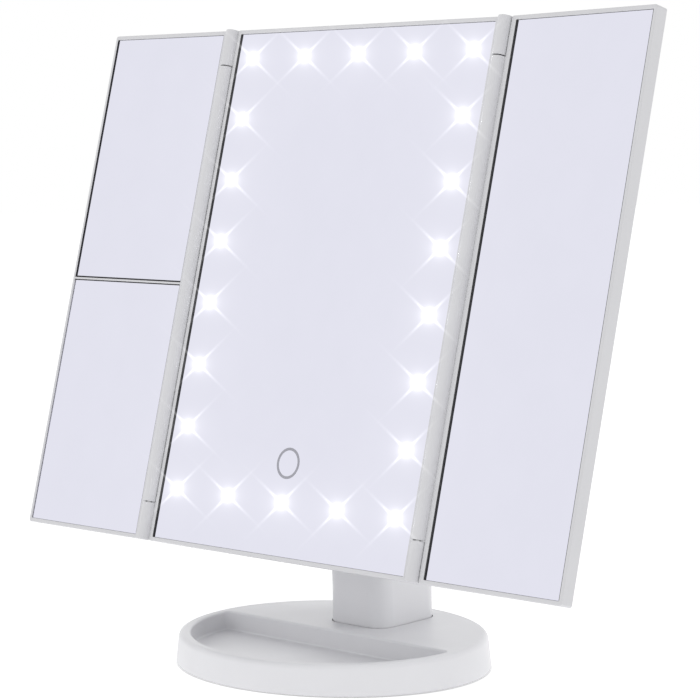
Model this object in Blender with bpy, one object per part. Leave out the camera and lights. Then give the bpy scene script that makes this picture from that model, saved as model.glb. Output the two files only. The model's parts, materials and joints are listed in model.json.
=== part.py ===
"""Tri-fold lighted table mirror on a weighted oval tray base.

Metres, +Z up. The mirror faces -Y and the origin is the middle of the base's underside.
The head's own frame ("panel frame") has X across, Y going back from the front rims and Z up
the panel, with its origin at the middle of the centre panel's front rim plane.
"""
from math import asin, cos, pi, radians, sin

import bmesh
import bpy

# ---- pose at rest -------------------------------------------------------------------
TILT = radians(15.0)              # head leaning back from upright
LEFT_FOLD = radians(0.6)          # left wing swung forward from flat
RIGHT_FOLD = radians(3.5)         # right wing swung forward from flat

# ---- general clearances and walls ---------------------------------------------------
GAP = 0.0003                      # between pieces that touch on the real object
WALL = 0.0020                     # moulded shell wall
REACH = 0.0050                    # how far a cutter runs past the face that it opens

# ---- panels -------------------------------------------------------------------------
PANEL_HEIGHT = 0.2400
HINGE_SPAN = 0.1676               # between the two wing hinge axes
RIM = 0.0019                      # top and bottom rims
CENTRE_SIDE_RIM = 0.00205
CORNER = 0.0012                   # outer corners of the panels
RECESS_CORNER = 0.0004
EDGE = 0.0004                     # chamfer along the outer edges
GLASS_DEPTH = 0.0006              # mirror face behind the rim plane
GLASS = 0.0020                    # mirror thickness
GASKET = 0.0001                   # thin foam lining round a mirror's edge
WIDE_GASKET = 0.0008              # the same along the left side of the centre and right mirrors
GASKET_PLAY = 0.00005             # between the lining and what it fits
GASKET_FRONT = 0.00015            # gasket lip behind the rim plane
LEDGE = 0.0030                    # shelf that the mirror's edge rests on
LEDGE_THICK = 0.0012

CENTRE_WALL_DEPTH = 0.0125        # depth of the centre frame's side walls
BACK_SKIN = 0.0022                # centre back cover
BACK_EDGE = 0.0010                # chamfer round its back
WING_DEPTH = 0.0066
WING_BACK = 0.0016
WING_WIDTH = 0.0830               # hinge axis to outer edge
WING_HINGE_RIM = 0.00265
WING_OUTER_RIM = 0.0015
DIVIDER = 0.0015                  # bar between the left wing's two mirrors
DIVIDER_HEIGHT = -0.0006          # its middle, from the panel's middle
DIVIDER_FRONT = 0.00005           # its face behind the rim plane

# ---- wing hinges --------------------------------------------------------------------
BARREL_RADIUS = 0.0032
AXIS_PROUD = 0.00025              # hinge axis in front of the rim plane
BARREL_CLEAR = 0.00025
WEB_FRONT = 0.00015               # web face behind the rim plane
WEB_GRIP = 0.0006                 # how far a web runs into the frame it joins
KNUCKLE = 0.0172                  # length of the centre frame's end knuckles
KNUCKLE_SPLIT = 0.0005
PIN_RADIUS = 0.0012
PIN_IN_WING = 0.0126              # engagement of a pin in the wing's barrel
PIN_SHORT = 0.0025                # pin end below the lower knuckle's mouth
KNUCKLE_CAP = 0.0030              # closed top of the upper knuckles

# ---- lamps and touch key ------------------------------------------------------------
LAMP_FROM_SIDE = 0.01235          # side columns, in from the centre frame's sides
LAMP_FROM_TOP = 0.0137            # top row, in from the frame's top
LAMP_FROM_BOTTOM = 0.0252
LAMPS_ACROSS = 5
LAMPS_BETWEEN = 6                 # in a side column, between the rows
LAMP = 0.0050
LAMP_THICK = 0.0014
STRIP_WIDTH = 0.0080
STRIP_THICK = 0.0012
TOUCH_ABOVE_LAMPS = 0.0174        # touch key over the bottom row
TOUCH_RADIUS = 0.0075
TOUCH_THICK = 0.0015

# ---- battery bay, control board, switch and charging socket -------------------------
CELL_LENGTH = 0.0505
CELL_DIAMETER = 0.0145
CELLS = 4
BAY_SPARE = 0.0022                # play around the row of cells
CONTACT_ROOM = 0.0025             # space for the contacts at each end of the cells
BAY_FLOOR_DEPTH = 0.0070          # front of the bay floor behind the rim plane
BAY_FLOOR = 0.0013
BAY_MIDDLE = -0.0020              # bay middle, from the panel's middle
BAY_CORNER = 0.0040
BAY_WALL = 0.0017
BAY_EDGE = 0.0008
DOOR = 0.0016
CONTACT = 0.0005
STUD_FOOT = 0.0030
STUD_TIP = 0.0018
GRIPS = 4
GRIP_START = 0.0060               # first grip groove, down from the bay's top
GRIP_STEP = 0.0022
GRIP_HALF_LENGTH = 0.0090
GRIP_HALF_WIDTH = 0.0005
GRIP_DEPTH = 0.0005
BOARD_WIDTH = 0.0460
BOARD_HEIGHT = 0.0160
BOARD_THICK = 0.0016
BOARD_DEPTH = 0.0066
BOARD_X = 0.0300
BOARD_FROM_BOTTOM = 0.0180
SOCKET_WIDTH = 0.0076
SOCKET_HEIGHT = 0.0029
SOCKET_X = 0.0430
SOCKET_WALL = 0.0004
SOCKET_BACK = 0.0012
SWITCH_X = 0.0200
SWITCH_WIDTH = 0.0120
SWITCH_HEIGHT = 0.0056
SLIDER_WIDTH = 0.0035
SLIDER_HEIGHT = 0.0030
SLIDER_TRAVEL = 0.0025
SLIDER_PROUD = 0.0015
SLIDER_CORNER = 0.0003

# ---- small screws -------------------------------------------------------------------
COVER_SCREW_RADIUS = 0.0010
COVER_SCREW_HEAD = 0.0019
COVER_SCREW_IN = 0.0026           # in from the recess side
COVER_SCREW_UP = 0.0039           # in from the recess top and bottom
COVER_COUNTERBORE = 0.0014
COVER_BOSS = 0.0028
BASE_SCREW_RADIUS = 0.0012
BASE_SCREW_HEAD = 0.0026
BASE_BOSS = 0.0035
BASE_SCREW_FRONT = (0.052, 0.013)
BASE_SCREW_REAR = (0.038, 0.041)
BASE_SCREW_HEAD_DEPTH = 0.0011
NECK_SCREW_RADIUS = 0.0020
NECK_SCREW_HEAD = 0.0034
NECK_SCREW_HEAD_THICK = 0.0022
NECK_SCREW_X = 0.0100

# ---- tilt hinge ---------------------------------------------------------------------
PIVOT_Y = 0.0170
PIVOT_Z = 0.1000
PIVOT_BEHIND = 0.0395             # pivot behind the rim plane
PIVOT_BELOW = 0.0590              # pivot below the panel's middle
NECK_KNUCKLE_RADIUS = 0.0115
NECK_KNUCKLE_HALF = 0.0135
WASHER = 0.0008
WASHER_RADIUS = 0.0090
EAR = 0.0060
EAR_RADIUS = 0.0105
EAR_FOOT = 0.0150                 # half height of an ear where it meets the plate
CAP_STEPS = ((0.0, -0.0002), (0.0, 0.0008), (0.0004, 0.0012), (0.0016, 0.0015))   # inset, proud of the ear
BRACKET_PLATE = 0.0036
BRACKET_HALF_HEIGHT = 0.0170
BRACKET_CORNER = 0.0020
BOLT_RADIUS = 0.0030
BOLT_HEAD = 0.0052
BOLT_HEAD_THICK = 0.0025
BRACKET_SCREW_X = 0.0080
BRACKET_SCREW_Z = 0.0120
BRACKET_SCREW_PROUD = 0.0002
BRACKET_SCREW_REACH = 0.0030      # past the back cover's front face

# ---- base ---------------------------------------------------------------------------
BASE_HALF_WIDTH = 0.0756
BASE_HALF_DEPTH = 0.0640
BASE_HEIGHT = 0.0146              # at the middle; the top falls towards the front
BASE_SLOPE = 1.5                  # share of the height gained per metre towards the back
BASE_TAPER = 0.0012               # side wall leaning in over its height
BASE_ROUND = 0.0026
BASE_FOOT = 0.0005                # shell edge above the table
TRAY_RIM = 0.0055
TRAY_WALL_Y = 0.0010              # straight back wall of the tray
TRAY_FLOOR = 0.0057
TRAY_CORNER = 0.0025
TRAY_EDGE = 0.0015                # rounded lip of the tray
TRAY_FILLET = 0.0012              # round between the tray's walls and floor
PAD = 0.0010
PLATE = 0.0020
PAD_INSET = 0.0040
CEILING = 0.0102                  # underside of the plateau behind the tray
WEIGHT_HALF_WIDTH = 0.0300
WEIGHT_FRONT = 0.0090
WEIGHT_BACK = 0.0500

# ---- neck ---------------------------------------------------------------------------
NECK_FRONT = 0.0137               # column front at the foot, +Y
NECK_BACK = 0.0516
NECK_HALF_WIDTH = 0.0176
NECK_CORNER = 0.0080
NECK_POCKET = 0.0122              # floor of the pocket that holds the foot
NECK_STRAIGHT = 0.0300            # height where the column starts to sweep forward
NECK_SIDE_WALL = 0.0034
NECK_FRONT_WALL = 0.0024
NECK_FLOOR = 0.0080
NECK_COVER = 0.0020
NECK_OPEN_TOP = 0.0840

# ---- worked out from the values above -----------------------------------------------
HALF_SPAN = HINGE_SPAN / 2
HALF_HEIGHT = PANEL_HEIGHT / 2
CENTRE_HALF = HALF_SPAN - BARREL_RADIUS - BARREL_CLEAR
WING_START = BARREL_RADIUS + BARREL_CLEAR
GLASS_EDGE = GASKET + 2 * GASKET_PLAY              # recess wall to mirror edge
LEDGE_DEPTH = GLASS_DEPTH + GLASS + GAP
BARREL_END = HALF_HEIGHT - KNUCKLE - KNUCKLE_SPLIT  # top of the wing's barrel
PIN_INNER = BARREL_END - PIN_IN_WING
COVER_FRONT = CENTRE_WALL_DEPTH + GAP
COVER_BACK = COVER_FRONT + BACK_SKIN
BAY_HALF_WIDTH = (CELLS * CELL_DIAMETER + BAY_SPARE) / 2
BAY_HALF_HEIGHT = CELL_LENGTH / 2 + CONTACT_ROOM
BAY_INSIDE = BAY_FLOOR_DEPTH + BAY_FLOOR
DOOR_FRONT = BAY_INSIDE + CELL_DIAMETER + 2 * GAP
HOUSING_BACK = DOOR_FRONT + DOOR
BRACKET_FRONT = COVER_BACK + GAP
BRACKET_BACK = BRACKET_FRONT + BRACKET_PLATE
EAR_INNER = NECK_KNUCKLE_HALF + WASHER + 2 * GAP
EAR_OUTER = EAR_INNER + EAR
LAMP_COLUMN = CENTRE_HALF - LAMP_FROM_SIDE
LAMP_TOP = HALF_HEIGHT - LAMP_FROM_TOP
LAMP_BOTTOM = LAMP_FROM_BOTTOM - HALF_HEIGHT
LAMP_STEP = (LAMP_TOP - LAMP_BOTTOM) / (LAMPS_BETWEEN + 1)
TOUCH_HEIGHT = LAMP_BOTTOM + TOUCH_ABOVE_LAMPS
BOARD_Z = BOARD_FROM_BOTTOM - HALF_HEIGHT
PLATE_LOW = PAD + GAP
PLATE_TOP = PLATE_LOW + PLATE
PIECES_START = PLATE_TOP + GAP                     # bosses and weight stand on the plate
TRAY_HALF_WIDTH = BASE_HALF_WIDTH - BASE_TAPER - TRAY_RIM
TRAY_HALF_DEPTH = BASE_HALF_DEPTH - BASE_TAPER - TRAY_RIM
NECK_MIDDLE_Y = (NECK_FRONT + NECK_BACK) / 2
BASE_SCREWS = [(side * x, y) for side in (-1, 1) for x, y in (BASE_SCREW_FRONT, BASE_SCREW_REAR)]
NECK_SCREWS = [(side * NECK_SCREW_X, NECK_MIDDLE_Y) for side in (-1, 1)]
COVER_SCREW_X = CENTRE_HALF - CENTRE_SIDE_RIM - COVER_SCREW_IN
COVER_SCREW_Z = HALF_HEIGHT - RIM - COVER_SCREW_UP
COVER_SCREWS = [(side * COVER_SCREW_X, z) for side in (-1, 1) for z in (-COVER_SCREW_Z, 0.0, COVER_SCREW_Z)]
BRACKET_SCREWS = [(a * BRACKET_SCREW_X, b * BRACKET_SCREW_Z) for a in (-1, 1) for b in (-1, 1)]

WHITE = ((0.86, 0.86, 0.87), 0.32, 0.0)
BLACK = ((0.02, 0.02, 0.022), 0.6, 0.0)
STEEL = ((0.62, 0.62, 0.63), 0.3, 1.0)
SILVERED = ((0.78, 0.78, 0.86), 0.02, 1.0)
BOARD = ((0.03, 0.16, 0.07), 0.5, 0.0)
LAMP_WHITE = ((0.95, 0.95, 0.93), 0.4, 0.0)
RUBBER = ((0.08, 0.08, 0.085), 0.8, 0.0)
NYLON = ((0.72, 0.72, 0.70), 0.5, 0.0)


# ---- outlines: lists of (x, y) points, anticlockwise --------------------------------
def rounded_rectangle(left, right, low, high, radius, steps=2):
    corners = (
        (right - radius, high - radius, 0),
        (left + radius, high - radius, 90),
        (left + radius, low + radius, 180),
        (right - radius, low + radius, 270),
    )
    return [
        (x + radius * cos(radians(start + 90 * i / steps)), y + radius * sin(radians(start + 90 * i / steps)))
        for x, y, start in corners
        for i in range(steps + 1)
    ]


def circle(x, y, radius, sides=20):
    turns = [2 * pi * i / sides for i in range(sides)]
    return [(x + radius * cos(turn), y + radius * sin(turn)) for turn in turns]


def oval(half_width, half_depth, sides=60):
    turns = [2 * pi * i / sides for i in range(sides)]
    return [(half_width * cos(turn), half_depth * sin(turn)) for turn in turns]


def part_oval(half_width, half_depth, wall_y, corner, sides=34, steps=4):
    """The part of an oval in front of a straight wall, with round corners where they meet."""
    corner_y = wall_y - corner
    turn = asin(corner_y / half_depth)
    corner_x = half_width * cos(turn) - corner
    right = [(corner_x + corner * cos(pi / 2 * i / steps), corner_y + corner * sin(pi / 2 * i / steps))
             for i in range(steps + 1)]
    left = [(-x, y) for x, y in reversed(right)]
    sweep = [pi - turn + (pi + 2 * turn) * i / sides for i in range(1, sides)]
    return right + left + [(half_width * cos(angle), half_depth * sin(angle)) for angle in sweep]


# ---- solids -------------------------------------------------------------------------
def flat(outline, height):
    """An outline lying level at a height (base frame)."""
    return [(x, y, height) for x, y in outline]


def upright(outline, depth):
    """An outline in the panel's plane, at a depth behind the rims (panel frame)."""
    return [(x, depth, z) for x, z in outline]


def across(outline, x):
    """An outline of (y, z) points in a plane across the width."""
    return [(x, y, z) for y, z in outline]


def add_loft(mesh, loops, ring=False):
    """Skins between loops of equal length; a ring joins the last to the first, else both ends are capped."""
    rows = [[mesh.verts.new(point) for point in loop] for loop in loops]
    count = len(rows[0])
    pairs = list(zip(rows, rows[1:]))
    if ring:
        pairs.append((rows[-1], rows[0]))
    else:
        mesh.faces.new(rows[0])
        mesh.faces.new(rows[-1])
    for low, high in pairs:
        for i in range(count):
            j = (i + 1) % count
            mesh.faces.new((low[i], low[j], high[j], high[i]))


def add_box(mesh, low, high):
    outline = [(low[0], low[1]), (high[0], low[1]), (high[0], high[1]), (low[0], high[1])]
    add_loft(mesh, [flat(outline, low[2]), flat(outline, high[2])])


def make(name, build, parent=None, origin=(0, 0, 0), finish=None):
    """A named object from a function that fills a bmesh; without a finish it is a hidden helper."""
    mesh = bmesh.new()
    build(mesh)
    bmesh.ops.recalc_face_normals(mesh, faces=mesh.faces)
    data = bpy.data.meshes.new(name)
    mesh.to_mesh(data)
    mesh.free()
    data.shade_smooth()
    data.set_sharp_from_angle(angle=radians(32))
    piece = bpy.data.objects.new(name, data)
    bpy.context.scene.collection.objects.link(piece)
    piece.parent = parent
    piece.location = origin
    if finish is None:
        piece.hide_render = True
        piece.display_type = "WIRE"
    else:
        data.materials.append(finished(name, finish))
    return piece


def finished(name, finish):
    colour, roughness, metallic = finish
    material = bpy.data.materials.new(name + "_finish")
    material.use_nodes = True
    shader = material.node_tree.nodes["Principled BSDF"]
    shader.inputs["Base Color"].default_value = (*colour, 1)
    shader.inputs["Roughness"].default_value = roughness
    shader.inputs["Metallic"].default_value = metallic
    return material


def combine(piece, operation, helper):
    modifier = piece.modifiers.new(helper.name, "BOOLEAN")
    modifier.operation = operation
    modifier.object = helper
    modifier.solver = "EXACT"


class Frame:
    """Makes pieces and their helpers with one parent and origin."""

    def __init__(self, parent=None, origin=(0, 0, 0)):
        self.parent = parent
        self.origin = origin

    def make(self, name, build, finish):
        return make(name, build, self.parent, self.origin, finish)

    def cut(self, piece, name, build):
        combine(piece, "DIFFERENCE", make(name, build, self.parent, self.origin))

    def fuse(self, piece, name, build):
        combine(piece, "UNION", make(name, build, self.parent, self.origin))

    def keep(self, piece, name, build):
        combine(piece, "INTERSECT", make(name, build, self.parent, self.origin))


def empty(name, location, parent=None, turn=(0, 0, 0)):
    axis = bpy.data.objects.new(name, None)
    bpy.context.scene.collection.objects.link(axis)
    axis.empty_display_size = 0.02
    axis.location = location
    axis.rotation_euler = turn
    axis.parent = parent
    return axis


def levels(outline, heights, place=flat):
    """A straight extrusion of one outline through a list of heights or depths."""
    return [place(outline, height) for height in heights]


def screw_levels(x, y, radius, head, heights, place=flat, sides=12):
    """Head from heights[0] to heights[1], shank on to heights[2]."""
    return [
        place(circle(x, y, head, sides), heights[0]),
        place(circle(x, y, head, sides), heights[1]),
        place(circle(x, y, radius, sides), heights[1]),
        place(circle(x, y, radius, sides), heights[2]),
    ]


# ---- base ---------------------------------------------------------------------------
def leaned(outline, height):
    """A level of the base shell, whose top rises towards the back."""
    return [(x, y, height * (1 + BASE_SLOPE * y)) for x, y in outline]


def base_outline(inset):
    return oval(BASE_HALF_WIDTH - inset, BASE_HALF_DEPTH - inset)


def tray_outline(outset):
    return part_oval(
        TRAY_HALF_WIDTH + outset, TRAY_HALF_DEPTH + outset, TRAY_WALL_Y + outset, TRAY_CORNER + outset
    )


def plateau_outline(inset):
    """The space behind the tray's back wall, inside the shell."""
    wall_y = -(TRAY_WALL_Y + TRAY_EDGE + WALL + inset)
    outline = part_oval(TRAY_HALF_WIDTH - inset, TRAY_HALF_DEPTH - inset, wall_y, TRAY_CORNER)
    return [(x, -y) for x, y in reversed(outline)]


def arc_steps(steps=3):
    return [(1 - cos(pi / 2 * i / steps), sin(pi / 2 * i / steps)) for i in range(steps + 1)]


def base_solid(mesh):
    shoulder = BASE_HEIGHT - BASE_ROUND
    loops = [leaned(base_outline(0), BASE_FOOT)]
    loops += [
        leaned(base_outline(BASE_TAPER + BASE_ROUND * inward), shoulder + BASE_ROUND * upward)
        for inward, upward in arc_steps()
    ]
    add_loft(mesh, loops)


def tray_cutter(mesh):
    steps = arc_steps()
    loops = [
        flat(tray_outline(-TRAY_FILLET * (1 - outward)), TRAY_FLOOR + TRAY_FILLET * upward)
        for upward, outward in steps
    ]
    loops += [
        leaned(tray_outline(TRAY_EDGE * inward), BASE_HEIGHT - TRAY_EDGE + TRAY_EDGE * upward)
        for inward, upward in steps
    ]
    loops.append(leaned(tray_outline(TRAY_EDGE), BASE_HEIGHT + REACH))
    add_loft(mesh, loops)


def neck_foot_outline(clearance):
    return rounded_rectangle(
        -NECK_HALF_WIDTH - clearance, NECK_HALF_WIDTH + clearance,
        NECK_FRONT - clearance, NECK_BACK + clearance, NECK_CORNER + clearance, 6,
    )


def build_base():
    base = Frame()
    tray = base.make("base_tray", base_solid, WHITE)
    base.cut(tray, "tray_cutter", tray_cutter)
    base.cut(tray, "plate_pocket", lambda m: add_loft(m, levels(base_outline(WALL), (-REACH, PIECES_START))))
    base.cut(tray, "plateau_hollow", lambda m: add_loft(
        m, levels(plateau_outline(0), (PIECES_START - 2 * GAP, CEILING))))
    base.cut(tray, "neck_pocket", lambda m: add_loft(
        m, levels(neck_foot_outline(GAP), (NECK_POCKET, BASE_HEIGHT + REACH))))

    def bosses(mesh):
        for x, y in BASE_SCREWS:
            add_loft(mesh, levels(circle(x, y, BASE_BOSS, 20), (PIECES_START, CEILING + WALL / 2)))

    def boss_holes(mesh):
        for x, y in BASE_SCREWS:
            hole = circle(x, y, BASE_SCREW_RADIUS + GAP, 12)
            add_loft(mesh, levels(hole, (PIECES_START - REACH / 5, CEILING - GAP)))

    def neck_holes(mesh):
        for x, y in NECK_SCREWS:
            hole = circle(x, y, NECK_SCREW_RADIUS + GAP, 16)
            add_loft(mesh, levels(hole, (CEILING - GAP, NECK_POCKET + GAP)))

    base.fuse(tray, "screw_bosses", bosses)
    base.cut(tray, "boss_holes", boss_holes)
    base.cut(tray, "neck_screw_holes", neck_holes)

    plate = base.make(
        "base_plate",
        lambda m: add_loft(m, levels(base_outline(WALL + GAP), (PLATE_LOW, PLATE_TOP))), WHITE)
    head_top = PLATE_LOW + BASE_SCREW_HEAD_DEPTH

    def plate_holes(mesh):
        for x, y in BASE_SCREWS:
            add_loft(mesh, screw_levels(x, y, BASE_SCREW_RADIUS + GAP, BASE_SCREW_HEAD + GAP,
                                        (0, head_top, PLATE_TOP + REACH)))

    base.cut(plate, "plate_holes", plate_holes)
    base.make("non_slip_pad", lambda m: add_loft(m, levels(base_outline(PAD_INSET), (0, PAD))), RUBBER)
    for number, (x, y) in enumerate(BASE_SCREWS, 1):
        heights = (PLATE_LOW + GAP / 2, head_top - GAP, CEILING - 3 * GAP)
        base.make(f"base_screw_{number}", lambda m, x=x, y=y, h=heights: add_loft(
            m, screw_levels(x, y, BASE_SCREW_RADIUS, BASE_SCREW_HEAD, h)), STEEL)

    weight_outline = rounded_rectangle(
        -WEIGHT_HALF_WIDTH, WEIGHT_HALF_WIDTH, WEIGHT_FRONT, WEIGHT_BACK, NECK_CORNER)
    weight = base.make(
        "base_weight", lambda m: add_loft(m, levels(weight_outline, (PIECES_START, CEILING - GAP))), STEEL)

    def weight_holes(mesh):
        for x, y in NECK_SCREWS:
            hole = circle(x, y, NECK_SCREW_HEAD + 2 * GAP, 20)
            add_loft(mesh, levels(hole, (PIECES_START - REACH / 5, CEILING + REACH)))

    base.cut(weight, "weight_holes", weight_holes)
    return base


# ---- neck ---------------------------------------------------------------------------
def sweep_forward(height):
    """0 at the straight foot to 1 at the pivot, with a smooth start and end."""
    share = min(max((height - NECK_STRAIGHT) / (PIVOT_Z - NECK_STRAIGHT), 0), 1)
    return share * share * (3 - 2 * share)


def neck_section(height, side=0.0, front=0.0, back=0.0, corner=0.0):
    """The column's outline at a height, with its sides, front and back brought in."""
    share = sweep_forward(height)
    narrowed = min(share / sweep_forward(PIVOT_Z - WASHER_RADIUS - GAP), 1)   # clear of the washers
    half = NECK_HALF_WIDTH + (NECK_KNUCKLE_HALF - NECK_HALF_WIDTH) * narrowed
    front_y = NECK_FRONT + (PIVOT_Y - NECK_KNUCKLE_RADIUS - NECK_FRONT) * share
    back_y = NECK_BACK + (PIVOT_Y + NECK_KNUCKLE_RADIUS - NECK_BACK) * share
    radius = NECK_CORNER * (1 - share / 2) - corner
    return rounded_rectangle(-half + side, half - side, front_y + front, back_y - back, radius, 6)


def neck_heights(low, high, count):
    return [low + (high - low) * i / count for i in range(count + 1)]


def neck_solid(mesh):
    foot = NECK_POCKET + GAP
    heights = [foot] + neck_heights(NECK_STRAIGHT, PIVOT_Z - GAP, 9)
    add_loft(mesh, [flat(neck_section(height), height) for height in heights])


def neck_rear_space(mesh):
    """The space behind the column's front and side walls, open at the back."""
    heights = [NECK_POCKET + GAP + NECK_FLOOR] + neck_heights(NECK_STRAIGHT, NECK_OPEN_TOP, 7)
    add_loft(mesh, [
        flat(neck_section(height, NECK_SIDE_WALL, NECK_FRONT_WALL, -REACH, NECK_SIDE_WALL), height)
        for height in heights])


def neck_cover_region(mesh):
    low = NECK_POCKET + 2 * GAP + NECK_FLOOR
    heights = [low] + neck_heights(NECK_STRAIGHT, NECK_OPEN_TOP - GAP, 7)
    loops = []
    for height in heights:
        outline = neck_section(height)
        back_y = max(y for _, y in outline)
        half = max(x for x, _ in outline) - NECK_SIDE_WALL - GAP
        loops.append(flat([(-half, back_y - NECK_COVER), (half, back_y - NECK_COVER),
                           (half, back_y + REACH), (-half, back_y + REACH)], height))
    add_loft(mesh, loops)


def knuckle_outline(radius, sides=24):
    return circle(PIVOT_Y, PIVOT_Z, radius, sides)


def build_neck(base):
    shell = base.make("neck_shell", neck_solid, WHITE)
    base.fuse(shell, "neck_knuckle", lambda m: add_loft(m, levels(
        knuckle_outline(NECK_KNUCKLE_RADIUS), (-NECK_KNUCKLE_HALF, NECK_KNUCKLE_HALF), across)))
    base.cut(shell, "neck_space", neck_rear_space)
    bore_end = NECK_KNUCKLE_HALF + REACH
    base.cut(shell, "pivot_bore", lambda m: add_loft(
        m, levels(knuckle_outline(BOLT_RADIUS + GAP, 20), (-bore_end, bore_end), across)))
    floor_top = NECK_POCKET + GAP + NECK_FLOOR

    def foot_holes(mesh):
        for x, y in NECK_SCREWS:
            add_loft(mesh, levels(circle(x, y, NECK_SCREW_RADIUS + GAP, 16), (0, floor_top + REACH / 5)))

    base.cut(shell, "foot_holes", foot_holes)
    cover = base.make("neck_rear_cover", neck_solid, WHITE)
    base.keep(cover, "cover_region", neck_cover_region)
    for number, (x, y) in enumerate(NECK_SCREWS, 1):
        heights = (CEILING - 2 * GAP - NECK_SCREW_HEAD_THICK, CEILING - GAP, floor_top - GAP)
        base.make(f"neck_screw_{number}", lambda m, x=x, y=y, h=heights: add_loft(
            m, screw_levels(x, y, NECK_SCREW_RADIUS, NECK_SCREW_HEAD, h, sides=16)), STEEL)


# ---- tilt hinge ---------------------------------------------------------------------
def pivot_outline(radius, sides=20):
    """A circle round the tilt axis, as (depth, height) in the panel frame."""
    return circle(PIVOT_BEHIND, -PIVOT_BELOW, radius, sides)


def ear_outline():
    """Foot on the bracket plate, round end about the tilt axis."""
    start = BRACKET_FRONT + BRACKET_PLATE / 2
    end = [(PIVOT_BEHIND + EAR_RADIUS * sin(pi * i / 14), -PIVOT_BELOW - EAR_RADIUS * cos(pi * i / 14))
           for i in range(15)]
    return [(start, -PIVOT_BELOW - EAR_FOOT)] + end + [(start, -PIVOT_BELOW + EAR_FOOT)]


def build_tilt_hinge(head):
    half = EAR_OUTER + CORNER
    low, high = -PIVOT_BELOW - BRACKET_HALF_HEIGHT, -PIVOT_BELOW + BRACKET_HALF_HEIGHT
    plate = rounded_rectangle(-half, half, low, high, BRACKET_CORNER)
    bracket = head.make("hinge_bracket", lambda m: add_loft(
        m, levels(plate, (BRACKET_FRONT, BRACKET_BACK), upright)), WHITE)
    seat = EAR_OUTER - BOLT_HEAD_THICK - 3 * GAP
    for side, word in ((-1, "left"), (1, "right")):
        head.fuse(bracket, f"ear_{word}", lambda m, s=side: add_loft(
            m, levels(ear_outline(), (s * EAR_INNER, s * EAR_OUTER), across)))
        head.cut(bracket, f"ear_bore_{word}", lambda m, s=side: add_loft(
            m, [across(pivot_outline(BOLT_RADIUS + GAP), s * (EAR_INNER - REACH / 5)),
                across(pivot_outline(BOLT_RADIUS + GAP), s * seat),
                across(pivot_outline(BOLT_HEAD + 2 * GAP), s * seat),
                across(pivot_outline(BOLT_HEAD + 2 * GAP), s * (EAR_OUTER + REACH))]))
        head.make(f"friction_washer_{word}", lambda m, s=side: add_loft(
            m, [across(pivot_outline(r), s * x) for r, x in (
                (BOLT_RADIUS + GAP, NECK_KNUCKLE_HALF + GAP), (WASHER_RADIUS, NECK_KNUCKLE_HALF + GAP),
                (WASHER_RADIUS, EAR_INNER - GAP), (BOLT_RADIUS + GAP, EAR_INNER - GAP))], ring=True), NYLON)
        head.make(f"bolt_cap_{word}", lambda m, s=side: add_loft(
            m, [across(pivot_outline(BOLT_HEAD + GAP - inset), s * (EAR_OUTER + proud))
                for inset, proud in CAP_STEPS]), WHITE)
    bolt_seat = seat + GAP
    bolt_end = bolt_seat + BOLT_HEAD_THICK - GAP
    head.make("tilt_bolt", lambda m: add_loft(
        m, levels(pivot_outline(BOLT_HEAD, 6), (-bolt_end, -bolt_seat), across)), STEEL)
    bolt = bpy.data.objects["tilt_bolt"]
    head.fuse(bolt, "bolt_shank", lambda m: add_loft(
        m, levels(pivot_outline(BOLT_RADIUS, 20), (-bolt_seat - GAP, bolt_end), across)))
    nut = head.make("tilt_nut", lambda m: add_loft(
        m, levels(pivot_outline(BOLT_HEAD, 6), (bolt_seat, bolt_end), across)), STEEL)
    head.cut(nut, "nut_bore", lambda m: add_loft(
        m, levels(pivot_outline(BOLT_RADIUS + GAP, 20), (bolt_seat - REACH, EAR_OUTER + REACH), across)))

    head_back = BRACKET_BACK + BRACKET_SCREW_PROUD
    head_front = BRACKET_BACK - COVER_COUNTERBORE

    def bracket_holes(mesh):
        depths = (BRACKET_BACK + REACH, head_front - GAP, BRACKET_FRONT - REACH)
        for x, z in BRACKET_SCREWS:
            add_loft(mesh, screw_levels(
                x, z - PIVOT_BELOW, COVER_SCREW_RADIUS + GAP, COVER_SCREW_HEAD + GAP, depths, upright))

    head.cut(bracket, "bracket_holes", bracket_holes)
    for number, (x, z) in enumerate(BRACKET_SCREWS, 1):
        depths = (head_back, head_front, COVER_FRONT - BRACKET_SCREW_REACH)
        head.make(f"bracket_screw_{number}", lambda m, x=x, z=z, d=depths: add_loft(
            m, screw_levels(x, z - PIVOT_BELOW, COVER_SCREW_RADIUS, COVER_SCREW_HEAD, d, upright)), STEEL)


# ---- frames, gaskets and mirrors ----------------------------------------------------
def framed(left, right, low, high, hinge_rim, outer_rim, depth):
    """Loops of a frame round one recess: front rim, ledge behind the mirror and side walls."""
    recess = (left + hinge_rim, right - outer_rim, low + RIM, high - RIM)
    shelf = (recess[0] + LEDGE, recess[1] - LEDGE, recess[2] + LEDGE, recess[3] - LEDGE)
    outer = (left, right, low, high)
    chamfered = (left + EDGE, right - EDGE, low + EDGE, high - EDGE)
    path = (
        (chamfered, CORNER - EDGE, 0), (recess, RECESS_CORNER, 0), (recess, RECESS_CORNER, LEDGE_DEPTH),
        (shelf, RECESS_CORNER, LEDGE_DEPTH), (shelf, RECESS_CORNER, LEDGE_DEPTH + LEDGE_THICK),
        (recess, RECESS_CORNER, LEDGE_DEPTH + LEDGE_THICK), (recess, RECESS_CORNER, depth),
        (outer, CORNER, depth), (outer, CORNER, EDGE),
    )
    return [upright(rounded_rectangle(*sides, radius), at) for sides, radius, at in path]


def mirrored(loops, side):
    """Wing loops are laid out for the right wing; the left wing is their mirror image."""
    return [[(side * x, y, z) for x, y, z in loop] for loop in loops]


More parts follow.
